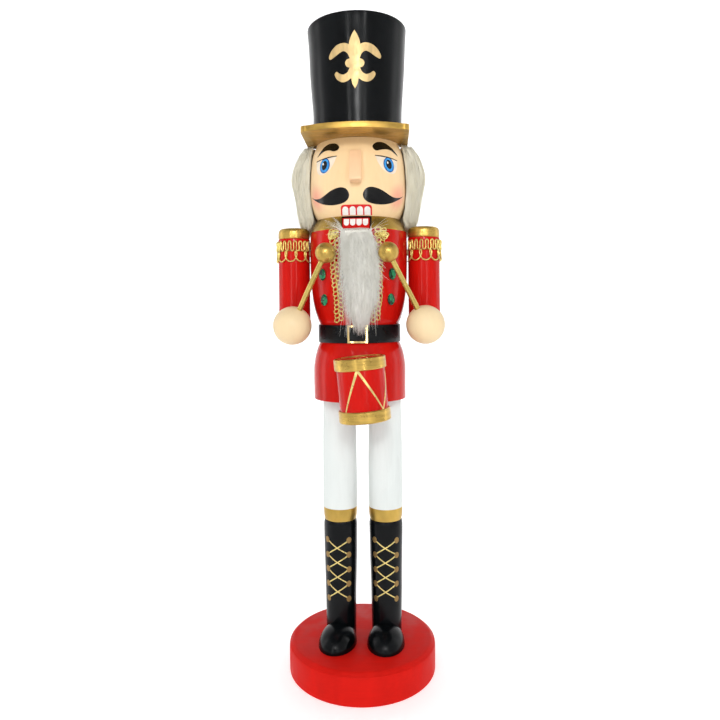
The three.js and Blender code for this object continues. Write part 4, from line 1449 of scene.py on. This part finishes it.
def hair():
    """Off-white fur round the sides and back of the head, thick at the ears and shorter over the lever."""
    outer_line = [(402.0, 46.8), (408.0, 50.2), (414.0, 53.4), (424.0, 56.0), (435.5, 57.9), (447.0, 60.2)]
    outer_line += [(457.4, 62.4), (464.0, 62.2), (473.0, 60.0), (482.0, 56.4), (490.0, 52.5)]
    outer_line = curve_through(outer_line, 6)
    inner_line = [(402.0, 46.4), (409.0, 46.2), (414.4, 44.0), (421.0, 42.0), (431.0, 44.2), (449.0, 45.9)]
    inner_line = np.array([*inner_line, (472.0, 44.5), (481.0, 43.0), (490.0, 40.5)])

    def outer(z):
        return np.interp(z, outer_line[:, 0], outer_line[:, 1])

    def inner(z):
        return np.interp(z, inner_line[:, 0], inner_line[:, 1])

    def lowest(angle):
        """The lower edge's height at an angle in degrees from the back."""
        at, heights = [0, 14, 24, 34, 52, 64, 80, 95], [426, 425.5, 411, 402, 401, 408, 415.5, 417]
        return np.interp(np.abs(angle), at, heights)

    # Underfur
    angles = np.radians(np.linspace(-89, 89, 88))
    heights = np.linspace(0, 1, 26)
    front_rows, back_rows = [], []
    for a in angles:
        low = lowest(math.degrees(a)) + 3
        zs = low + (489.3 - low) * heights
        taper = min(1.0, (89.5 - abs(math.degrees(a))) / 10) ** 0.6
        r_out = inner(zs) + (outer(zs) - inner(zs)) * 0.80 * taper + 0.05
        points = np.stack([r_out * math.sin(a), r_out * math.cos(a), zs * 0.15], 1)
        r_out = r_out + 0.5 * value_noise(points, 0.5, 4) * taper
        r_out = np.maximum(r_out, inner(zs) + 0.3)
        front_rows.append(np.stack([r_out * math.sin(a), r_out * math.cos(a), zs], 1))
        r_in = inner(zs)
        back_rows.append(np.stack([r_in * math.sin(a), r_in * math.cos(a), zs], 1)[::-1])
    rows = [np.concatenate([f, b]) for f, b in zip(front_rows, back_rows)]
    core = make_object("hair_underfur", *capped_rings(rows), [hair_core.mat], 0)
    face_outwards(core)
    finish_piece(core, FIGURE, ["hair"])

    def lock(name, a_low, a_high, n, k=9):
        a = rng.uniform(a_low, a_high, n)
        a = np.where(np.abs(a) > 90, np.sign(a) * (90 + (np.abs(a) - 90) ** 1.2 * 0.56), a)
        edge = np.clip((105 - np.abs(a)) / 14, 0.12, 1)
        layer_depth = rng.beta(2.2, 1.0, n) * edge
        start = rng.uniform(0, 1, n) ** 1.5
        z0 = 490.2 - start * (489 - lowest(a) - 14)
        length = np.minimum(rng.uniform(30, 58, n), z0 - lowest(a) + rng.uniform(-2, 6, n))
        length = np.maximum(length, 6)
        t = np.linspace(0, 1, k)[None, :]
        z = z0[:, None] - length[:, None] * t
        rise = np.clip(t * length[:, None] / 9, 0, 1) ** 0.6
        root = np.where(z0 > 478, 0.8, 0.3)[:, None]
        depth = layer_depth[:, None] * (root + (1 - root) * rise)
        r = inner(z) + 0.4 + (outer(z) - inner(z)) * depth * 1.04
        seed_points = np.stack([a / 5, z0 / 14, layer_depth * 2], 1)
        wave = value_noise(seed_points, 0.8, 11)[:, None]
        swing = (2.8 * wave + rng.normal(0, 1.7, n)[:, None]) * t**1.2
        angle = np.radians(a[:, None] + swing)
        r = r + 0.8 * np.abs(wave) * t + rng.normal(0, 0.5, n)[:, None] * t
        r = np.maximum(r, inner(z) + 0.5)
        paths = np.stack([r * np.sin(angle), r * np.cos(angle), z], 2)
        piece = make_object(name, *hairs(paths, 0.21, 0.06), [hair_fibre.mat], 0)
        finish_piece(piece, FIGURE)

    lock("hair_fur_left", 38, 104, 4300)
    lock("hair_fur_back", -38, 38, 3900)
    lock("hair_fur_right", -104, -38, 4300)


hair()


# ---------------------------------------------------------------- floor, lights and camera


def studio():
    """A round pale bowl that is brighter behind the figure, and soft strip lights in front."""
    bpy.context.scene.view_settings.view_transform = "Standard"
    world = bpy.data.worlds.new("studio")
    bpy.context.scene.world = world
    world.use_nodes = True
    world.node_tree.nodes["Background"].inputs[0].default_value = (1, 1, 1, 1)
    world.node_tree.nodes["Background"].inputs[1].default_value = 0.15

    # The bowl's radius and height, in metres
    section = [(0.0, 0.0), (0.6, 0.0), (1.2, 0.0), (1.7, 0.06), (2.1, 0.4), (2.3, 1.2), (2.4, 3.4)]
    sides = 96
    a = full_turn(sides)
    rows = [np.stack([r * np.cos(a), r * np.sin(a), z + 0 * a], 1) for r, z in curve_through(section)[1:]]
    faces = flipped(grid_faces(len(rows), sides)) + [tuple(range(sides))]
    bowl = make_object("studio_bowl", np.concatenate(rows) / MM, faces, [], 0)
    p = Paint("studio_paper", (0.9, 0.9, 0.9), 0.9, Specular_IOR_Level=0.1)
    p.set("Base Color", p.mix(p.noise(3.0), (0.89, 0.89, 0.89), (0.91, 0.91, 0.91)))
    split = p.node("ShaderNodeSeparateXYZ", [("Vector", p.coords)])
    behind = p.ranged(split.outputs["Y"], -0.45, 0.25, 0.0, 0.41, smooth=True)
    beside = p.ranged(p.math("ABSOLUTE", split.outputs["X"]), 1.3, 2.0, 1.0, 0.25, smooth=True)
    glow = p.math("ADD", p.math("MULTIPLY", behind, beside), 0.13)
    p.bsdf.inputs["Emission Color"].default_value = (1, 1, 1, 1)
    p.set("Emission Strength", glow)
    p.mat.cycles.emission_sampling = "NONE"
    bowl.data.materials.append(p.mat)

    def softbox(name, azimuth, height, reach, wide, tall, watts):
        data = bpy.data.lights.new(name, "AREA")
        data.shape, data.size, data.size_y, data.energy = "RECTANGLE", wide, tall, watts
        lamp = bpy.data.objects.new(name, data)
        bpy.context.scene.collection.objects.link(lamp)
        a = math.radians(azimuth)
        place = Vector((reach * math.sin(a), -reach * math.cos(a), height))
        lamp.location = place
        lamp.rotation_euler = (Vector((0, 0, 0.33)) - place).to_track_quat("-Z", "Y").to_euler()

    softbox("flash", 3, 0.74, 1.15, 0.14, 0.14, 3.35)
    softbox("left_strip", -17, 0.62, 1.35, 0.05, 1.0, 2.35)
    softbox("right_strip", 20, 0.62, 1.35, 0.05, 1.0, 2.2)
    softbox("left_window", -98, 0.5, 1.3, 0.3, 1.0, 1.5)
    softbox("right_window", 104, 0.5, 1.3, 0.3, 1.0, 1.1)
    softbox("overhead", 0, 1.6, 0.6, 1.0, 1.0, 0.6)


def camera():
    distance, azimuth, eye, roll = 0.617, math.radians(2.5), 0.337, math.radians(-0.55)
    data = bpy.data.cameras.new("camera")
    data.lens, data.sensor_width = 32.5, 36.0
    data.shift_x, data.shift_y = 0.001, -0.0708
    data.clip_start = 0.01
    obj = bpy.data.objects.new("camera", data)
    bpy.context.scene.collection.objects.link(obj)
    upright = Matrix.Rotation(azimuth, 4, "Z") @ Matrix.Rotation(math.pi / 2, 4, "X")
    level = upright @ Matrix.Rotation(roll, 4, "Z")
    place = Matrix.Translation((distance * math.sin(azimuth), -distance * math.cos(azimuth), eye))
    obj.matrix_world = place @ level
    bpy.context.scene.camera = obj


studio()
camera()
